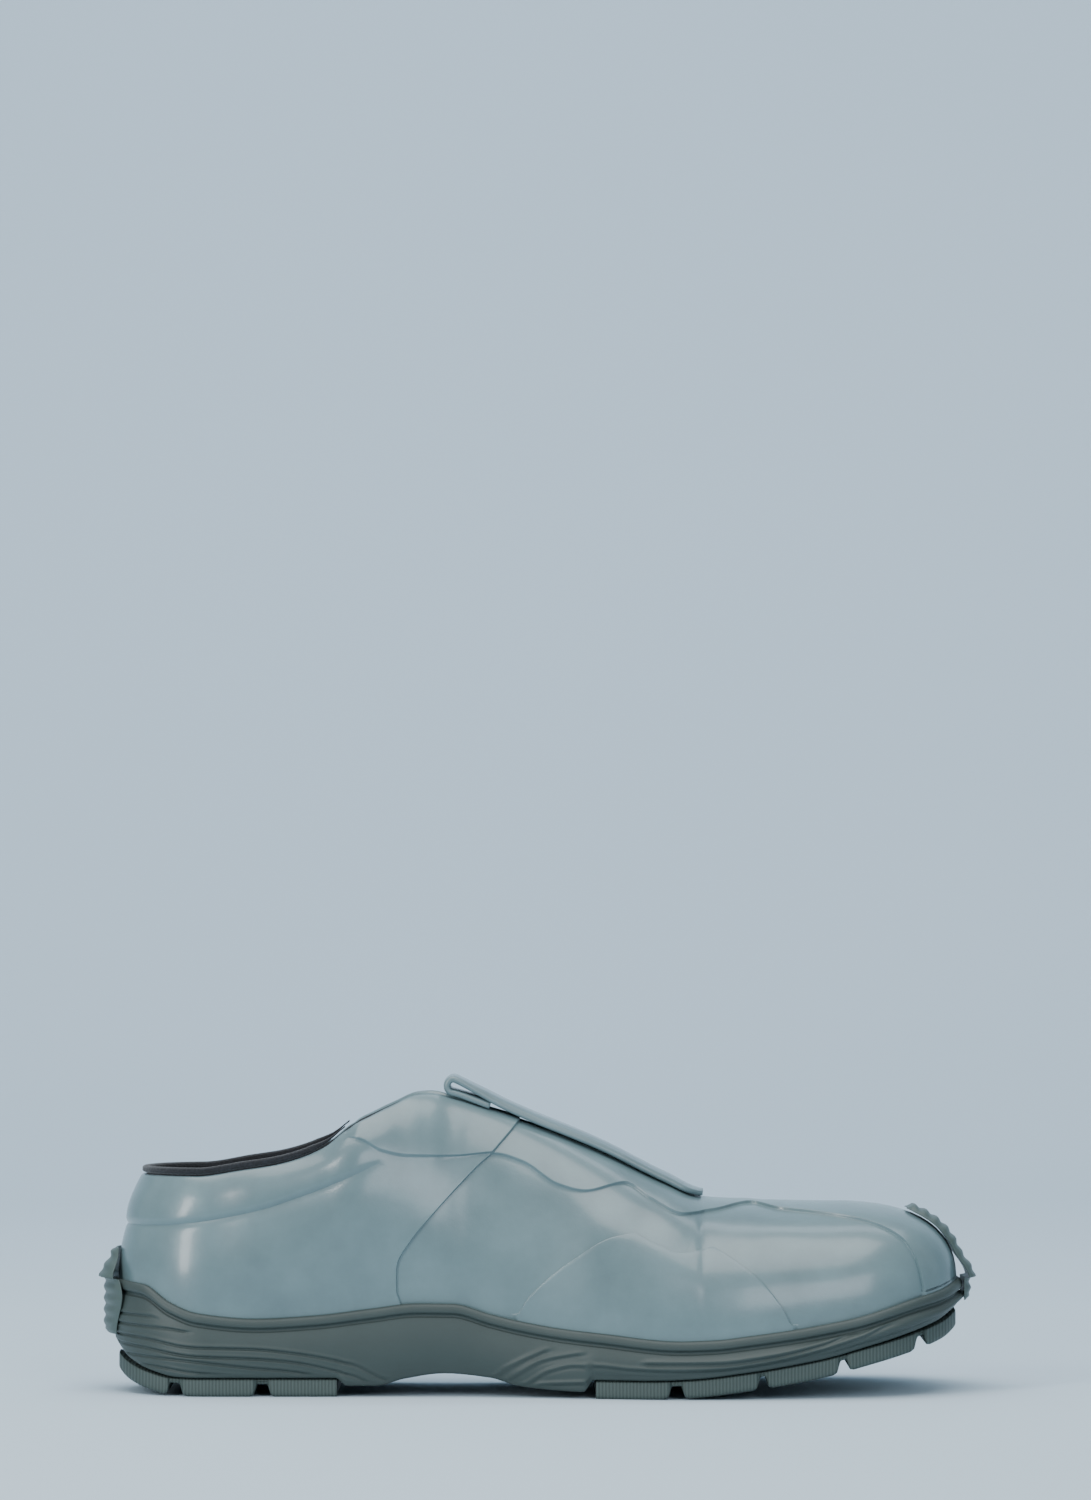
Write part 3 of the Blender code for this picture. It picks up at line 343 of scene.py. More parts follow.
def crossings(shares, side, edge, scale):
    """Highest rise at which each column crosses an edge given by side view; -1 where it doesn't."""
    rises = np.linspace(1, 0, 241)
    share_grid, rise_grid = np.meshgrid(shares, rises)
    spots = SIDES[side].skin(leaned(share_grid, side, rise_grid), rise_grid)
    over = spots[..., 2] - scale * read(edge, place(spots[..., 0]))
    crossed = (over[:-1] > 0) & (over[1:] <= 0)
    first = np.argmax(crossed, axis=0)
    columns = np.arange(len(shares))
    high, low = over[first, columns], over[first + 1, columns]
    found = rises[first] + (rises[first + 1] - rises[first]) * high / np.where(high > low, high - low, 1)
    return np.where(crossed.any(axis=0), found, -1.0)


# Mesh helpers
ROOT = "root"


def srgb(code):
    """Linear colour of an sRGB hex value."""
    channels = [int(code[i:i + 2], 16) / 255 for i in (1, 3, 5)]
    linear = [c / 12.92 if c <= 0.04045 else ((c + 0.055) / 1.055) ** 2.4 for c in channels]
    return (*linear, 1.0)


def finish_mesh(name, shape, materials, smooth=True, body=ROOT):
    """Turns a bmesh into a piece of the shoe that rides on its body."""
    mesh = bpy.data.meshes.new(name)
    shape.to_mesh(mesh)
    shape.free()
    for material in materials:
        mesh.materials.append(material)
    if smooth:
        mesh.shade_smooth()
    piece = bpy.data.objects.new(name, mesh)
    bpy.context.scene.collection.objects.link(piece)
    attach(piece, body)
    return piece


def grid_shape(points, drop=None, band=None):
    """A bmesh grid laid on rows and columns of points, less the cells to drop, with its doubles merged."""
    rows, columns = points.shape[:2]
    shape = bmesh.new()
    bmesh.ops.create_grid(shape, x_segments=columns - 1, y_segments=rows - 1, size=0.5)
    spots = {}
    for corner in shape.verts:
        column = round((corner.co.x + 0.5) * (columns - 1))
        row = round((corner.co.y + 0.5) * (rows - 1))
        spots[corner] = (row, column)
    doomed = []
    for face in shape.faces:
        cells = [spots[corner] for corner in face.verts]
        row, column = min(c[0] for c in cells), min(c[1] for c in cells)
        if band is not None:
            face.material_index = int(band[row])
        if drop is not None and drop[row, column]:
            doomed.append(face)
    for corner, (row, column) in spots.items():
        corner.co = points[row, column]
    bmesh.ops.delete(shape, geom=doomed, context="FACES_ONLY")
    bmesh.ops.remove_doubles(shape, verts=shape.verts, dist=1e-6)
    bmesh.ops.dissolve_degenerate(shape, edges=shape.edges, dist=1e-7)
    return shape


def round_trip(outer, inner):
    """Joins rows of the outer side and of the inner side into rows that go all the way round."""
    return np.concatenate([outer, inner[:, ::-1]], axis=1)


# Materials


def node(tree, kind, settings=None, **links):
    """Adds a node with its settings, and links or sets its inputs by name."""
    made = tree.nodes.new(kind)
    for key, value in (settings or {}).items():
        setattr(made, key, value)
    for key, value in links.items():
        socket = made.inputs[int(key[1:]) if key[0] == "i" and key[1:].isdigit() else key.replace("_", " ")]
        if isinstance(value, bpy.types.NodeSocket):
            tree.links.new(value, socket)
        else:
            socket.default_value = value
    return made


def new_material(name, roughness, metallic=0.0, **constants):
    """A material with its shader, and the object coordinates that its patterns read."""
    material = bpy.data.materials.new(name)
    material.use_nodes = True
    tree = material.node_tree
    shader = tree.nodes["Principled BSDF"]
    shader.inputs["Roughness"].default_value = roughness
    shader.inputs["Metallic"].default_value = metallic
    for key, value in constants.items():
        shader.inputs[key.replace("_", " ")].default_value = value
    coordinates = node(tree, "ShaderNodeTexCoord").outputs["Object"]
    return material, tree, shader, coordinates


def two_colours(tree, factor, first, second):
    """A ramp between two sRGB colours."""
    ramp = node(tree, "ShaderNodeValToRGB", Fac=factor)
    ramp.color_ramp.elements[0].color = srgb(first)
    ramp.color_ramp.elements[1].color = srgb(second)
    return ramp


def bump(tree, shader, height, distance, strength=1.0, under=None):
    made = node(tree, "ShaderNodeBump", Height=height, Distance=distance, Strength=strength)
    if under is not None:
        tree.links.new(under.outputs["Normal"], made.inputs["Normal"])
    tree.links.new(made.outputs["Normal"], shader.inputs["Normal"])
    return made


def make_leather(name, dark, light, roughness=0.30):
    """Polished full-grain leather: fine pores, faint mottling and a waxed coat give soft bright glints."""
    material, tree, shader, spot = new_material(name, roughness, Coat_Weight=0.45, Coat_Roughness=0.16)
    mottle = node(tree, "ShaderNodeTexNoise", Vector=spot, Scale=38.0, Detail=5.0, Roughness=0.6)
    colour = two_colours(tree, mottle.outputs["Fac"], dark, light)
    colour.color_ramp.elements[0].position = 0.30
    colour.color_ramp.elements[1].position = 0.72
    tree.links.new(colour.outputs["Color"], shader.inputs["Base Color"])
    grain = node(tree, "ShaderNodeTexVoronoi", {"feature": "DISTANCE_TO_EDGE"}, Vector=spot, Scale=1100.0)
    pores = node(tree, "ShaderNodeTexNoise", Vector=spot, Scale=420.0, Detail=4.0, Roughness=0.65)
    soft = node(tree, "ShaderNodeTexNoise", Vector=spot, Scale=55.0, Detail=2.0)
    first = bump(tree, shader, soft.outputs["Fac"], 0.00035, 0.5)
    second = bump(tree, shader, pores.outputs["Fac"], 0.00010, 0.55, first)
    bump(tree, shader, grain.outputs["Distance"], 0.00003, 0.5, second)
    return material


def make_rubber(name, dark, light, roughness=0.5):
    """Moulded rubber: an even satin skin with a faint bloom and very fine pitting."""
    material, tree, shader, spot = new_material(name, roughness, Specular_IOR_Level=0.45)
    bloom = node(tree, "ShaderNodeTexNoise", Vector=spot, Scale=60.0, Detail=4.0)
    colour = two_colours(tree, bloom.outputs["Fac"], dark, light)
    tree.links.new(colour.outputs["Color"], shader.inputs["Base Color"])
    pits = node(tree, "ShaderNodeTexNoise", Vector=spot, Scale=900.0, Detail=2.0)
    bump(tree, shader, pits.outputs["Fac"], 0.00005, 0.5)
    return material


def make_tread_rubber():
    """Harder tread rubber: matte, with the upright ribs 0.6 mm apart that its mould leaves on the lugs."""
    material, tree, shader, spot = new_material("tread_rubber_ribbed", 0.62, Specular_IOR_Level=0.4)
    ribs = node(tree, "ShaderNodeTexWave", {"bands_direction": "X"}, Vector=spot, Scale=270.0, Distortion=0.4)
    # Painted shade: the colour follows the rib relief, darker in the troughs and lighter on the crests, as
    # the ribs' own shade and light would look.
    colour = two_colours(tree, ribs.outputs["Fac"], "#3d4946", "#4d5a57")
    tree.links.new(colour.outputs["Color"], shader.inputs["Base Color"])
    bump(tree, shader, ribs.outputs["Fac"], 0.00015, 0.7)
    return material


def make_textile(name, dark, light, threads=1400.0):
    """Black knitted textile: small loops and stray fuzz that take almost no shine."""
    material, tree, shader, spot = new_material(name, 0.92, Sheen_Weight=0.25, Sheen_Roughness=0.5)
    loops = node(tree, "ShaderNodeTexVoronoi", Vector=spot, Scale=threads)
    # Painted shade and light: the colour follows the knit relief, darker in the loops' hollows and lighter on
    # their raised tops.
    colour = two_colours(tree, loops.outputs["Distance"], dark, light)
    tree.links.new(colour.outputs["Color"], shader.inputs["Base Color"])
    bump(tree, shader, loops.outputs["Distance"], 0.0002, 0.8)
    return material


LEATHER = make_leather("polished_leather", "#5f7478", "#6f868a")
EDGE_LEATHER = make_leather("polished_leather_strap", "#5c7074", "#6b8185")
RUBBER = make_rubber("moulded_sole_rubber", "#36413f", "#3f4b49")
GUARD_RUBBER = make_rubber("moulded_guard_rubber", "#44524f", "#4e5d5a", 0.45)
TREAD = make_tread_rubber()
LINING = make_textile("black_lining_knit", "#0e0f12", "#22252b")
ELASTIC = make_textile("black_elastic_gore", "#0c0d10", "#1d2026", 2200.0)
FOOTBED = make_textile("black_footbed_fabric", "#121316", "#26292e", 900.0)

# The upper: one shell of leather outside and knit inside


def side_columns():
    """Shares of the columns of one side, close together at the rear quarter's edge."""
    shares = np.concatenate([
        np.linspace(0, HEEL_SHARE, 60, endpoint=False),
        np.linspace(HEEL_SHARE, TOE_SHARE, 200, endpoint=False),
        np.linspace(TOE_SHARE, 1, 100),
    ])
    edge = share_of(along(QUARTER_FOOT))
    per_metre = (TOE_SHARE - HEEL_SHARE) / (TOE_AXIS - HEEL_AXIS)
    close = edge + per_metre * np.array([-0.6, -0.35, -0.2, -0.1, 0.0, 0.1, 0.2, 0.35, 0.6]) / 1000
    kept = shares[np.abs(shares - edge) > per_metre * 0.0009]
    return np.sort(np.concatenate([kept, close]))


COLUMNS = side_columns()
CLUSTER = np.array([-1.0, -0.6, -0.3, 0.0, 0.3, 0.6, 1.0])
CLUSTER_WIDTH = 0.00040     # half the width over which an overlay's edge rounds up


def edge_step(offset):
    """Share of an overlay's step at an offset from its edge: a thick edge with a rounded lip."""
    return blend(-0.75, 0.55, offset)


def upper_rows(side):
    """Rises of the upper's rows on every column, and their heights over the base skin."""
    shares = COLUMNS
    wall = SIDES[side]
    middle = place(wall.skin(leaned(shares, side, 0.5), 0.5)[:, 0])
    high = place(wall.skin(leaned(shares, side, 0.9), 0.9)[:, 0])
    seam_at = place(wall.skin(leaned(shares, side, 0.7), 0.7)[:, 0])

    eyestay = crossings(shares, side, EYESTAY_EDGE, INSTEP_HEIGHT)
    behind = high < EYESTAY_START
    in_cap = (eyestay < 0.03) & ~behind & (high > 0.8)
    eyestay = np.where(behind, 0.94, np.where(in_cap, 0.03, np.clip(eyestay, 0.03, 0.95)))
    patch = crossings(shares, side, PATCH_EDGE, TOE_HEIGHT)
    patch_shows = (middle > PATCH_START) & (middle < PATCH_END) & (patch > 0)
    patch = np.where(patch_shows, np.maximum(patch, 0.02), 0.02)
    patch = np.minimum(patch, eyestay * 0.6)
    between = (patch + eyestay) / 2
    collar = crossings(shares, side, COLLAR_EDGE, HEEL_HEIGHT)
    collar = np.where(collar < 0, between, collar)
    collar = collar + (between - collar) * blend(COLLAR_END, COLLAR_END + 0.06, seam_at)
    collar = np.clip(collar, patch + (eyestay - patch) * 0.2, eyestay - (eyestay - patch) * 0.08)

    def width(rise):
        step = 0.004
        run = wall.skin(shares, rise + step) - wall.skin(shares, rise - step)
        return CLUSTER_WIDTH / (np.linalg.norm(run, axis=-1) / (2 * step))

    widths = [np.minimum(width(rise), rise * 0.3) for rise in (patch, collar, eyestay)]
    rows = []
    marks = []
    previous = np.zeros_like(shares)
    for level, (rise, spread) in enumerate(zip((patch, collar, eyestay), widths)):
        for part in np.linspace(0, 1, 15, endpoint=False):
            rows.append(previous + (rise - spread - previous) * part)
            marks.append((level, -2.0))
        for offset in CLUSTER:
            rows.append(rise + spread * offset)
            marks.append((level, offset))
        previous = rise + spread
    for part in np.linspace(0, 1, 16)[1:]:
        rows.append(previous + (1 - previous) * part)
        marks.append((3, -2.0))
    rises = np.array(rows)

    quarter = 1 - blend(-0.25, 0.2, (shares - share_of(along(QUARTER_FOOT))) * 1000
                        * (TOE_AXIS - HEEL_AXIS) / (TOE_SHARE - HEEL_SHARE))
    eyestay_amount = blend(EYESTAY_START, EYESTAY_START + 0.005, high)
    pad_amount = 1 - blend(0.27, COLLAR_END + 0.02, seam_at)
    heights = np.zeros_like(rises)
    for i, (level, offset) in enumerate(marks):
        step = edge_step(offset) if offset > -2 else 0.0
        under_patch = 1 - (step if level == 0 else float(level > 0))
        over_eyestay = step if level == 2 else float(level > 2)
        over_eyestay = np.where(in_cap, 1.0, over_eyestay) * eyestay_amount
        heights[i] += OVERLAY * under_patch * patch_shows
        heights[i] += 1.15 * OVERLAY * over_eyestay
        heights[i] += OVERLAY * quarter
        part = np.clip((rises[i] - collar) / (1 - collar), 0, 1)
        heights[i] += COLLAR_PAD * pad_amount * np.sin(np.pi * part ** 0.85) ** 0.75
        heights[i] -= 0.0004 * pad_amount * np.exp(-((rises[i] - collar) * 60) ** 2)
    return rises, heights


# Soft troughs and swells of the worn-in leather, by side view:
# place, height share, size along, size up, depth in mm
CREASES = (
    (0.520, 0.62, 0.030, 0.10, -0.7), (0.575, 0.55, 0.022, 0.08, 0.5), (0.625, 0.60, 0.018, 0.05, -0.4),
    (0.690, 0.52, 0.030, 0.06, -0.5), (0.780, 0.55, 0.030, 0.05, 0.4), (0.250, 0.52, 0.030, 0.10, -0.5),
    (0.180, 0.45, 0.035, 0.08, 0.5), (0.400, 0.50, 0.030, 0.12, 0.4), (0.450, 0.70, 0.020, 0.05, -0.4),
)


def crease_height(points, side):
    """Height of the soft creases over the skin at points of one side."""
    at = place(points[..., 0])
    level = points[..., 2] / INSTEP_HEIGHT
    height = np.zeros(points.shape[:-1])
    for spot_at, spot_level, spread, rise, depth in CREASES:
        spot_at = spot_at + (0.012 if side == INNER else 0.0)
        reach = ((at - spot_at) / spread) ** 2 + ((level - spot_level) / rise) ** 2
        height += depth / 1000 * np.exp(-reach)
    return height


def make_upper():
    """Outer skin, rounded rim and lining as one shell, with both sides sewn into one."""
    layers = {}
    for side in SIDES:
        wall = SIDES[side]
        rises, heights = upper_rows(side)
        share = leaned(COLUMNS[None, :], side, rises)
        points = wall.skin(share, rises)
        heights = heights + crease_height(points, side) * (1 - blend(0.85, 1.0, rises))
        outer = points + wall.normal(share, rises) * heights[..., None]
        inner_rises = np.linspace(1, 0, 26)[:, None] * np.ones(len(COLUMNS))
        share = leaned(COLUMNS[None, :], side, inner_rises)
        inner = wall.skin(share, inner_rises) - wall.normal(share, inner_rises) * UPPER_WALL
        crown = []
        for part in (0.25, 0.5, 0.75):
            bulge = np.array([0, 0, 0.0006]) * math.sin(math.pi * part)
            crown.append(outer[-1] + (inner[0] - outer[-1]) * part + bulge)
        foot_z = floor_height(wall.column("x", COLUMNS)) + GAP
        skirt_out = wall.rim(COLUMNS, LIP_INSET, foot_z)[None]
        skirt_in = wall.rim(COLUMNS, LIP_INSET + UPPER_WALL, foot_z)[None]
        rows = np.concatenate([skirt_out, outer, np.array(crown), inner, skirt_in])
        layers[side] = rows
    count = layers[OUTER].shape[0] - 26 - 1 - 3
    closed = opening_half(SIDES[OUTER].column("axis", leaned(COLUMNS, OUTER, 1.0))) <= 0
    points = round_trip(layers[OUTER], layers[INNER])
    both = np.concatenate([closed, closed[::-1]])
    drop = np.zeros((points.shape[0] - 1, points.shape[1] - 1), bool)
    drop[count - 1:count + 3] = both[:-1] & both[1:]
    drop[:, len(COLUMNS) - 1] = True
    band = np.zeros(points.shape[0] - 1)
    band[count + 1:] = 1
    shape = grid_shape(points, drop, band)
    bmesh.ops.recalc_face_normals(shape, faces=shape.faces)
    piece = finish_mesh("upper_shell", shape, [LEATHER, LINING])
    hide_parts("upper")


make_upper()

# The cup sole

# Grooves round the heel and raised ribs behind the ball, by side view: place, height in mm
HEEL_LINES = (
    ((0.00, 27.5), (0.060, 27.0), (0.067, 26.6)),
    ((0.00, 24.3), (0.08, 23.0), (0.107, 22.0)),
    ((0.00, 20.6), (0.045, 19.8), (0.107, 16.8), (0.176, 16.2), (0.22, 15.0), (0.29, 11.0), (0.335, 5.5)),
    ((0.00, 17.6), (0.045, 16.6), (0.107, 13.8), (0.176, 13.0), (0.22, 11.9), (0.29, 7.2), (0.322, 3.6)),
    ((0.00, 14.0), (0.079, 12.8), (0.176, 9.8), (0.22, 8.6), (0.29, 4.2), (0.31, 2.8)),
    ((0.04, 10.5), (0.107, 8.2), (0.176, 6.6), (0.22, 5.4), (0.27, 3.0)),
)
BALL_LINES = (
    ((0.445, 6.8), (0.466, 10.6), (0.495, 15.0), (0.516, 17.2)),
    ((0.460, 5.8), (0.480, 9.0), (0.505, 13.2), (0.530, 15.0), (0.555, 16.0)),
    ((0.475, 4.2), (0.515, 10.0), (0.542, 11.8), (0.568, 11.8), (0.607, 10.8), (0.66, 10.4), (0.71, 11.0),
     (0.76, 13.0), (0.82, 17.2), (0.865, 21.5), (0.91, 26.5)),
    ((0.490, 3.4), (0.503, 5.0), (0.545, 5.8), (0.577, 6.2)),
    ((0.620, 13.0), (0.70, 13.2), (0.76, 15.2), (0.82, 19.2), (0.88, 25.2)),
)


def line_profile(x, z, lines, half):
    """How near each point is to the closest of a set of side view lines, fading at each line's front end."""
    near = np.zeros_like(x)
    at = place(x)
    for line in lines:
        height = read(line, at) / 1000
        start, end = line[0][0], line[-1][0]
        inside = blend(start - 0.004, start + 0.004, at) if start > 0 else 1.0
        fade = inside * (1 - blend(end - 0.012, end + 0.004, at))
        near = np.maximum(near, np.exp(-((z - height) / half) ** 2) * fade)
    return near


SIDE_ROWS = 76


def sole_side(share, side):
    """Rows of points up the sole's side, from its underside to the cup floor."""
    wall = SIDES[side]
    rim_x = wall.column("x", share)
    groove_foot = edge_height(rim_x) - STITCH_DROP - STITCH_GROOVE / 2
    rows = []
    reach = wall.column("reach", share)
    for part in (1.0, 0.75, 0.5, 0.25):
        inset = 0.0034 + (reach - 0.0034) * part
        flat = wall.rim(share, inset, 0.0)
        rows.append(np.stack([flat[..., 0], flat[..., 1], underside_height(flat[..., 0])], -1))
    low = underside_height(rim_x)
    for inset, lift in ((0.0034, 0.0), (0.0027, 0.0001), (0.0022, 0.0004), (0.0019, 0.0009)):
        rows.append(wall.rim(share, inset, low + lift))
    for i in range(SIDE_ROWS + 1):
        part = i / SIDE_ROWS
        bulge = 0.0014 * (2 * part - 1.1) ** 2
        z = low + 0.0016 + (groove_foot - low - 0.0016) * part
        groove = line_profile(rim_x, z, HEEL_LINES, 0.00045)
        groove -= 0.35 * line_profile(rim_x, z - 0.0008, HEEL_LINES, 0.0006)
        rib = line_profile(rim_x, z, BALL_LINES, 0.0007)
        rib -= 0.5 * line_profile(rim_x, z + 0.0013, BALL_LINES, 0.0006)
        inset = bulge + 0.0007 * groove - 0.0006 * rib
        rows.append(wall.rim(share, inset, z))
    face = 0.0009
    profile = (
        (face + 0.2 * STITCH_DEPTH, 0.0001), (face + 0.8 * STITCH_DEPTH, 0.0003),
        (face + STITCH_DEPTH, 0.0007), (face + STITCH_DEPTH, 0.0011),
        (face + 0.8 * STITCH_DEPTH, 0.0015), (face + 0.1 * STITCH_DEPTH, 0.0018), (face - 0.0002, 0.0021),
    )
    for inset, lift in profile:
        rows.append(wall.rim(share, inset, groove_foot + lift))
    edge = edge_height(rim_x)
    top = LIP_INSET - GAP
    lip = (
        (0.0006, 0.0026), (0.0006, 0.0018), (0.0008, 0.0011), (0.0012, 0.0005), (0.0018, 0.0001),
        (top - 0.0008, 0.0), (top - 0.0002, 0.0002), (top, 0.0007),
    )
    for inset, drop in lip:
        rows.append(wall.rim(share, inset, edge - drop))
    rows.append(wall.rim(share, top, floor_height(rim_x)))
    for part in (0.5, 1.0):
        flat = wall.rim(share, top + (reach - top) * part, 0.0)
        rows.append(np.stack([flat[..., 0], flat[..., 1], floor_height(flat[..., 0])], -1))
    return np.array(rows)


def make_sole():
    shares = np.concatenate([
        np.linspace(0, HEEL_SHARE, 70, endpoint=False),
        np.linspace(HEEL_SHARE, TOE_SHARE, 240, endpoint=False),
        np.linspace(TOE_SHARE, 1, 80),
    ])
    points = round_trip(sole_side(shares, OUTER), sole_side(shares, INNER))
    drop = np.zeros((points.shape[0] - 1, points.shape[1] - 1), bool)
    drop[:, len(shares) - 1] = True
    shape = grid_shape(points, drop)
    bmesh.ops.recalc_face_normals(shape, faces=shape.faces)
    piece = finish_mesh("cup_sole", shape, [RUBBER])
    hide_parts("sole")
    return piece


make_sole()


def rim_y(x, side, inset):
    """Y of the sole's outline, drawn in by an inset."""
    x = np.asarray(x, float)
    heel_part = np.clip((HEEL_AXIS - x) / (HEEL_RADIUS - inset), 0, 1)
    toe_part = np.clip((x - TOE_AXIS) / (TOE_REACH - inset), 0, 1)
    pinch = np.sqrt(1 - heel_part ** 2) * (1 - toe_part ** TOE_SQUARENESS) ** (1 / TOE_SQUARENESS)
    return centre_line(x) + side * (half_width(x, side) - inset) * pinch


def make_tread(name, start, end, grooves):
    """A lugged tread: dense sections from its rear end to its front end, thinned at the grooves."""
    count = 260
    turn = np.linspace(0, math.pi, count)
    x = start + (end - start) * (1 - np.cos(turn)) / 2
    slant = 0.0016
    extra = []
    for low, high in grooves:
        low, high = along(low), along(high)
        extra += list(np.linspace(low - 0.0012, low + slant, 9))
        extra += list(np.linspace(high - slant, high + 0.0012, 9))
    x = np.unique(np.concatenate([x, extra]))
    top = underside_height(x) - GAP
    ground = ground_height(x)
    cut = np.zeros_like(x)
    step_down = np.zeros_like(x)
    for low, high in grooves:
        low, high = along(low), along(high)
        cut = np.maximum(cut, blend(low, low + slant, x) * (1 - blend(high - slant, high, x)))
        near = blend(low - 0.0012, low, x) * (1 - blend(high, high + 0.0012, x))
        step_down = np.maximum(step_down, near)
    web = top - 0.0018
    bottom = ground + (web - ground) * cut + 0.0004 * step_down * (1 - cut)
    bottom = np.minimum(bottom, top - 0.0008)
    chamfer = np.minimum(0.0010, (top - bottom) / 3)
    sections = []
    draw = 0.0026 + 0.0012 * cut
    profile = ((0.0010, 0.0, 0), (0.0002, -0.0004, 0), (0.0, -0.0010, 0), (0.0, 1.6, 1), (0.0, 1.0, 1),
               (0.35, 0.35, 2), (1.0, 0.0, 2))
    for side in (OUTER, INNER):
        half = []
        for inset, level, kind in profile:
            if kind == 0:
                y, z = rim_y(x, side, draw + inset), top + level
            elif kind == 1:
                y, z = rim_y(x, side, draw), bottom + chamfer * level
            else:
                y, z = rim_y(x, side, draw + chamfer * inset), bottom + chamfer * level
            half.append(np.stack([x, y, np.maximum(z, bottom)], -1))
        sections += half if side == OUTER else half[::-1]
    rows = np.array(sections)
    rows = np.concatenate([rows, rows[:1]])
    shape = grid_shape(rows)
    bmesh.ops.holes_fill(shape, edges=[edge for edge in shape.edges if edge.is_boundary])
    bmesh.ops.recalc_face_normals(shape, faces=shape.faces)
    piece = finish_mesh(name + "_lugs", shape, [TREAD], smooth=False)
    piece.data.shade_smooth()
    piece.data.set_sharp_from_angle(angle=math.radians(35))
    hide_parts(name)


TREAD_HALF = SOLE_HALF - 0.0026 - 0.0008
make_tread("heel_tread", -TREAD_HALF, along(HEEL_TREAD_END), HEEL_GROOVES)
make_tread("forefoot_tread", along(FOREFOOT_TREAD_START), TREAD_HALF, FOREFOOT_GROOVES)


def make_insole():
    """Fabric footbed over foam, with a soft rounded border."""
    shares = np.concatenate([
        np.linspace(0, HEEL_SHARE, 30, endpoint=False),
        np.linspace(HEEL_SHARE, TOE_SHARE, 80, endpoint=False),
        np.linspace(TOE_SHARE, 1, 40),
    ])
    rim = LIP_INSET + UPPER_WALL + 2 * GAP
    layers = {}
    for side in SIDES:
        wall = SIDES[side]
        reach = wall.column("reach", shares)
        rows = []
        for part, level, lift in ((1.0, 0.0, 0), (0.5, 0.0, 0), (0.0, 0.0, 0), (0.0, 0.6, 0), (0.03, 0.9, 0),
                                  (0.08, 1.0, 0), (0.2, 1.0, 0.2), (0.4, 1.0, 0.0), (0.7, 1.0, -0.3),
                                  (1.0, 1.0, -0.4)):
            flat = wall.rim(shares, rim + (reach - rim) * part, 0.0)
            z = floor_height(flat[..., 0]) + GAP + INSOLE_THICKNESS * level + lift / 1000
            rows.append(np.stack([flat[..., 0], flat[..., 1], z], -1))
        layers[side] = np.array(rows)
    points = round_trip(layers[OUTER], layers[INNER])
    drop = np.zeros((points.shape[0] - 1, points.shape[1] - 1), bool)
    drop[:, len(shares) - 1] = True
    shape = grid_shape(points, drop)
    bmesh.ops.recalc_face_normals(shape, faces=shape.faces)
    piece = finish_mesh("footbed", shape, [FOOTBED])
    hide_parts("insole")


make_insole()


def ridge_spot(x, across):
    """Points and normals of the base skin at a distance from the middle line, across the ridge."""
    side = OUTER if across < 0 else INNER
    wall = SIDES[side]
    share = share_of(x)
    low, high = np.full_like(x, 0.4), np.ones_like(x)
    for _ in range(24):
        middle = (low + high) / 2
        away = np.abs(wall.skin(share, middle)[..., 1] - centre_line(x)) > abs(across)
        low = np.where(away, middle, low)
        high = np.where(away, high, middle)
    spot, normal = wall.skin(share, low), wall.raw_normal(share, low)
    flat = np.stack([x, centre_line(x) + across, top_height(x)], -1)
    upright = wall.raw_normal(share, np.ones_like(x))
    upright[..., 1] = 0.0
    upright /= np.linalg.norm(upright, axis=-1, keepdims=True)
    over = (abs(across) <= opening_half(x))[:, None]
    return np.where(over, flat, spot), np.where(over, upright, normal)


def make_gore():
    x = along(np.linspace(GORE_START, GORE_END, 60))
    tops, bottoms = [], []
    for part in np.linspace(-1, 1, 31):
        spot, normal = ridge_spot(x, GORE_HALF * part)
        tops.append(spot - normal * (UPPER_WALL + GORE_DROP))
        bottoms.append(spot - normal * (UPPER_WALL + GORE_DROP + 0.0015))
    rows = np.array(tops + bottoms[::-1] + tops[:1])
    shape = grid_shape(rows)
    bmesh.ops.holes_fill(shape, edges=[edge for edge in shape.edges if edge.is_boundary])
    bmesh.ops.recalc_face_normals(shape, faces=shape.faces)
    piece = finish_mesh("elastic_gore", shape, [ELASTIC])
    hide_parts("gore")


make_gore()


def strap_line():
    """Middle line of the strap: under layer, loop, then along the top to the tip."""
    half = STRAP_THICKNESS / 2
    x = along(np.linspace(STRAP_FOLD_END, STRAP_START, 14))
    z = top_height(x) + OVERLAY + STRAP_CLEARANCE + half
    under = np.stack([x, z], -1)
    low = under[-1, 1]
    high = low + STRAP_THICKNESS * float(read(STRAP_LIFT, STRAP_START))
    turn = np.linspace(0, math.pi, 15)[1:-1]
    radius = (high - low) / 2
    loop = np.stack([under[-1, 0] - radius * np.sin(turn), (high + low) / 2 - radius * np.cos(turn)], -1)
    at = np.linspace(STRAP_START, STRAP_TIP, 90)
    x = along(at)
    z = top_height(x) + OVERLAY + STRAP_CLEARANCE + half + STRAP_THICKNESS * read(STRAP_LIFT, at)
    over = np.stack([x, z], -1)
    return np.concatenate([under, loop, over]), len(under) + len(loop)


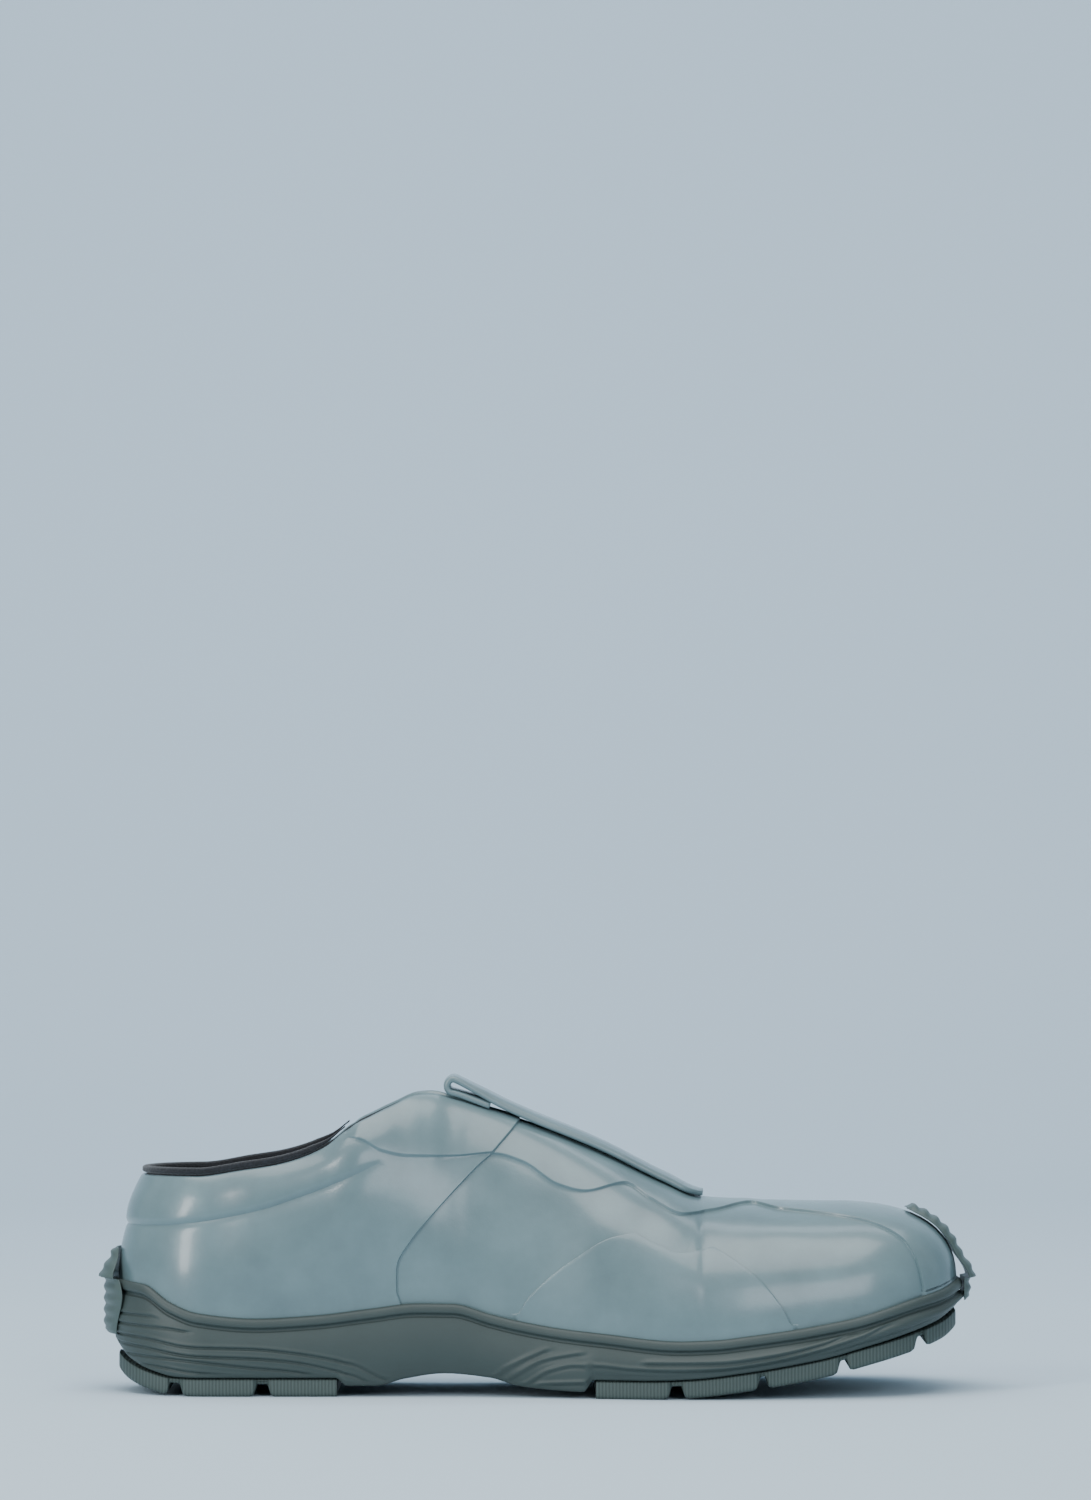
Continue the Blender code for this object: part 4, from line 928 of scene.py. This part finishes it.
def strap_surface(across, height):
    """Points of the strap at a share across its width and a height share over its middle line."""
    line, _ = strap_line()
    forward = np.gradient(line, axis=0)
    forward /= np.linalg.norm(forward, axis=1, keepdims=True)
    outward = np.stack([-forward[:, 1], np.zeros(len(line)), forward[:, 0]], -1)
    x = line[:, 0]
    taper = 1 - 0.3 * blend(along(STRAP_TIP - 0.03), along(STRAP_TIP), x) ** 2
    tip = np.clip((x - along(STRAP_TIP - 0.018)) / (along(STRAP_TIP) - along(STRAP_TIP - 0.018)), 0, 1)
    width = STRAP_HALF * taper * np.sqrt(1 - 0.55 * tip ** 3)
    under = np.maximum(x, along(STRAP_START))
    drop = np.zeros_like(x)
    for i, spot_x in enumerate(under):
        spot, _ = ridge_spot(np.array([spot_x]), across * width[i] + 1e-9)
        drop[i] = min(spot[0, 2] - float(top_height(spot_x)), 0.0)
    drop *= blend(along(STRAP_START), along(0.46), x) * 0.7 + 0.3
    drop -= 0.0010 * blend(along(0.55), along(STRAP_TIP), x)
    y = centre_line(x) + width * across
    middle = np.stack([x, y, line[:, 1] + drop], -1)
    thin = 1 - 0.25 * blend(along(STRAP_TIP - 0.04), along(STRAP_TIP), x)
    return middle + outward * (STRAP_THICKNESS / 2 * height * thin)[:, None], outward


def make_strap():
    """Folded leather strap with rounded edges, its under layer and its loop."""
    ring = []
    section = (
        (-1.0, 0.0), (-0.985, 0.55), (-0.95, 0.86), (-0.90, 0.97), (-0.80, 0.86), (-0.74, 0.86),
        (-0.64, 1.0), (-0.3, 1.06), (0.0, 1.08), (0.3, 1.06), (0.64, 1.0), (0.74, 0.86),
        (0.80, 0.86), (0.90, 0.97), (0.95, 0.86), (0.985, 0.55), (1.0, 0.0), (0.985, -0.55),
        (0.94, -0.9), (0.5, -1.0), (0.0, -1.0), (-0.5, -1.0), (-0.94, -0.9), (-0.985, -0.55),
    )
    for across, height in section:
        line_count = len(strap_line()[0])
        points, _ = strap_surface(across, np.full(line_count, height))
        ring.append(points)
    rows = np.array(ring + ring[:1])
    shape = grid_shape(rows)
    bmesh.ops.holes_fill(shape, edges=[edge for edge in shape.edges if edge.is_boundary])
    bmesh.ops.recalc_face_normals(shape, faces=shape.faces)
    piece = finish_mesh("strap_leather", shape, [EDGE_LEATHER])
    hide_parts("pull_strap")


make_strap()


def make_binding():
    """Double roll of ribbed black binding over the collar's edge, from eyestay to eyestay."""
    routes = []
    for side in (OUTER, INNER):
        wall = SIDES[side]
        share = leaned(COLUMNS, side, 1.0)
        spots = wall.skin(share, np.ones_like(share))
        keep = place(spots[:, 0]) < BINDING_END
        inward = np.stack([wall.column("in_x", share), wall.column("in_y", share), np.zeros_like(share)], -1)
        lift = np.array([0, 0, BINDING_RADIUS + GAP + 0.0006])
        points = (spots + inward * 0.0006 + lift)[keep]
        sides = inward[keep]
        routes.append((points, sides) if side == INNER else (points[::-1], sides[::-1]))
    points = np.concatenate([routes[0][0], routes[1][0][1:]])
    inward = np.concatenate([routes[0][1], routes[1][1][1:]])
    rows = []
    ends = np.minimum(np.arange(len(points)), np.arange(len(points))[::-1])
    taper = np.clip(ends / 6, 0.25, 1)[:, None]
    for turn in np.linspace(0, 2 * math.pi, 25):
        across, up = math.cos(turn), math.sin(turn)
        waist = 1 - 0.16 * math.exp(-((up - 0.05) / 0.22) ** 2)
        offset = inward * across * 1.15 * waist + np.array([0, 0, 1.0]) * up * 0.95
        rows.append(points + offset * BINDING_RADIUS * taper)
    shape = grid_shape(np.array(rows))
    bmesh.ops.holes_fill(shape, edges=[edge for edge in shape.edges if edge.is_boundary])
    bmesh.ops.recalc_face_normals(shape, faces=shape.faces)
    piece = finish_mesh("collar_roll", shape, [LINING])
    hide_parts("collar_binding")


make_binding()


def make_guard(name, node_name, end, foot_z, top_rise, widest, widths):
    """Nubbed rubber strip up the end of the shoe: over the cup sole, then over the upper."""
    rim_x = -SOLE_HALF if end == 0 else SOLE_HALF
    lip = float(edge_height(rim_x))
    levels = [("sole", z) for z in np.linspace(foot_z, lip, 30)]
    path = SIDES[OUTER].skin(np.full(200, float(end)), np.linspace(0, top_rise, 200))
    run = np.concatenate([[0], np.cumsum(np.linalg.norm(np.diff(path, axis=0), axis=1))])
    steps = max(round(run[-1] / 0.0005), 10)
    rises = np.interp(np.linspace(0, run[-1], steps)[1:], run, np.linspace(0, top_rise, 200))
    levels += [("upper", rise) for rise in rises]
    on_upper = (lip - foot_z) + np.linspace(0, run[-1], steps)[1:]
    heights = np.concatenate([np.linspace(0, lip - foot_z, 30), on_upper])
    total = heights[-1]

    def base(kind, level, share, side):
        wall = SIDES[side]
        share = np.array([share])
        inward = np.stack([wall.column("in_x", share), wall.column("in_y", share), np.zeros(1)], -1)
        if kind == "sole":
            return wall.rim(share, -GAP, level)[0], -inward[0]
        level = np.array([level])
        normal = wall.normal(share, level)
        on_skin = wall.skin(share, level) + normal * (2 * OVERLAY + GAP)
        near = (1 - blend(0.0, 0.22, level))[:, None]
        mixed = normal - inward * near
        return (on_skin - inward * near * LIP_INSET)[0], (mixed / np.linalg.norm(mixed))[0]

    def share_across(kind, level, side, width):
        low, high = (0.0, HEEL_SHARE) if end == 0 else (1.0, TOE_SHARE)
        for _ in range(16):
            middle = (low + high) / 2
            spot = base(kind, level, middle, side)[0]
            if abs(spot[1] - centre_line(spot[0])) < width:
                low = middle
            else:
                high = middle
        return (low + high) / 2

    across = (-1.0, -0.99, -0.93, -0.82, -0.6, -0.3, 0.0, 0.3, 0.6, 0.82, 0.93, 0.99, 1.0)
    outer, inner = [], []
    for (kind, level), run_at in zip(levels, heights):
        half = widest * float(read(widths, run_at / total))
        wave = 0.5 + 0.5 * math.cos(2 * math.pi * run_at / NUB_PITCH)
        end_drop = 1 - 0.75 * float(1 - blend(0.0, 0.0015, min(run_at, total - run_at)))
        outer_row, inner_row = [], []
        for part in across:
            side = OUTER if part < 0 else INNER
            share = float(end) if part == 0 else share_across(kind, level, side, abs(part) * half)
            spot, normal = base(kind, level, share, side)
            crown = math.sqrt(max(1 - abs(part) ** 4, 0.04))
            nub = NUB * wave * (1 - abs(part) ** 6)
            outer_row.append(spot + normal * ((GUARD_THICKNESS - NUB) * crown + nub) * end_drop)
            inner_row.append(spot)
        outer.append(outer_row)
        inner.append(inner_row)
    outer, inner = np.array(outer), np.array(inner)
    loop = np.concatenate([outer, inner[:, ::-1], outer[:, :1]], axis=1)
    shape = grid_shape(loop)
    bmesh.ops.holes_fill(shape, edges=[edge for edge in shape.edges if edge.is_boundary])
    bmesh.ops.recalc_face_normals(shape, faces=shape.faces)
    piece = finish_mesh(name, shape, [GUARD_RUBBER])
    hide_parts(node_name)


TAB_WIDTHS = ((0.00, 0.79), (0.45, 1.00), (0.75, 0.79), (1.00, 0.42))
GUARD_WIDTHS = ((0.00, 1.00), (0.60, 1.00), (0.90, 0.83), (1.00, 0.58))
TAB_FOOT = float(underside_height(-SOLE_HALF)) + 0.0020
GUARD_FOOT = float(underside_height(SOLE_HALF)) + 0.0012
TAB_TOP = 0.27              # rise of the heel wall that the tab reaches
GUARD_TOP = 0.66            # rise of the toe that the guard reaches
make_guard("heel_tab_nubs", "heel_tab", 0, TAB_FOOT, TAB_TOP, TAB_HALF, TAB_WIDTHS)
make_guard("toe_guard_nubs", "toe_guard", 1, GUARD_FOOT, GUARD_TOP, GUARD_HALF, GUARD_WIDTHS)

# Camera, light and floor
CAMERA_DISTANCE = 2.200
CAMERA_HEIGHT = 0.180
CAMERA_PITCH = math.radians(1.064)
LENS = 152.33


def make_camera():
    data = bpy.data.cameras.new("camera")
    data.lens = LENS
    data.sensor_width = 36.0
    data.clip_end = 20.0
    camera = bpy.data.objects.new("camera", data)
    camera.location = (0.0027, -CAMERA_DISTANCE, CAMERA_HEIGHT)
    camera.rotation_euler = (math.pi / 2 + CAMERA_PITCH, 0, 0)
    bpy.context.scene.collection.objects.link(camera)
    bpy.context.scene.camera = camera


def make_light(name, place_at, target, size, power, colour="#ffffff"):
    data = bpy.data.lights.new(name, "AREA")
    data.shape = "RECTANGLE"
    data.size, data.size_y = size
    data.energy = power
    data.color = srgb(colour)[:3]
    light = bpy.data.objects.new(name, data)
    light.location = place_at
    light.rotation_euler = (Vector(target) - Vector(place_at)).to_track_quat("-Z", "Y").to_euler()
    bpy.context.scene.collection.objects.link(light)


def make_floor():
    """Seamless pale sweep: floor, curve and wall."""
    rows = []
    for y, z in ((-4.0, 0.0), (1.2, 0.0)):
        rows.append((y, z))
    radius = 1.2
    for turn in np.linspace(0, math.pi / 2, 20)[1:]:
        rows.append((1.2 + radius * math.sin(turn), radius - radius * math.cos(turn)))
    rows.append((2.4, 5.0))
    points = np.array([[(x, y, z) for x in (-5.0, 5.0)] for y, z in rows])
    shape = grid_shape(points)
    bmesh.ops.recalc_face_normals(shape, faces=shape.faces)
    material, tree, shader, spot = new_material("pale_blue_paper", 0.85, Specular_IOR_Level=0.2)
    fleck = node(tree, "ShaderNodeTexNoise", Vector=spot, Scale=3.0)
    colour = two_colours(tree, fleck.outputs["Fac"], "#c3d5e0", "#c7d8e3")
    tree.links.new(colour.outputs["Color"], shader.inputs["Base Color"])
    mesh = bpy.data.meshes.new("sweep")
    shape.to_mesh(mesh)
    shape.free()
    mesh.materials.append(material)
    mesh.shade_smooth()
    floor = bpy.data.objects.new("sweep", mesh)
    bpy.context.scene.collection.objects.link(floor)


make_camera()
make_floor()
make_light("top_softbox", (-0.1, -0.3, 1.6), (0.0, 0.0, 0.05), (1.6, 1.2), 22.0)
make_light("left_strip", (-1.2, -1.3, 0.7), (-0.05, 0.0, 0.05), (0.35, 1.2), 16.0)
make_light("front_fill", (0.9, -2.2, 1.1), (0.05, 0.0, 0.05), (1.0, 1.0), 14.0, "#f2f7ff")
make_light("back_wash", (0.0, 1.0, 2.2), (0.0, 2.0, 1.0), (3.0, 1.0), 30.0, "#e6f1ff")
world = bpy.data.worlds.new("studio")
world.use_nodes = True
world.node_tree.nodes["Background"].inputs["Color"].default_value = srgb("#dbe8f2")
world.node_tree.nodes["Background"].inputs["Strength"].default_value = 0.55
bpy.context.scene.world = world
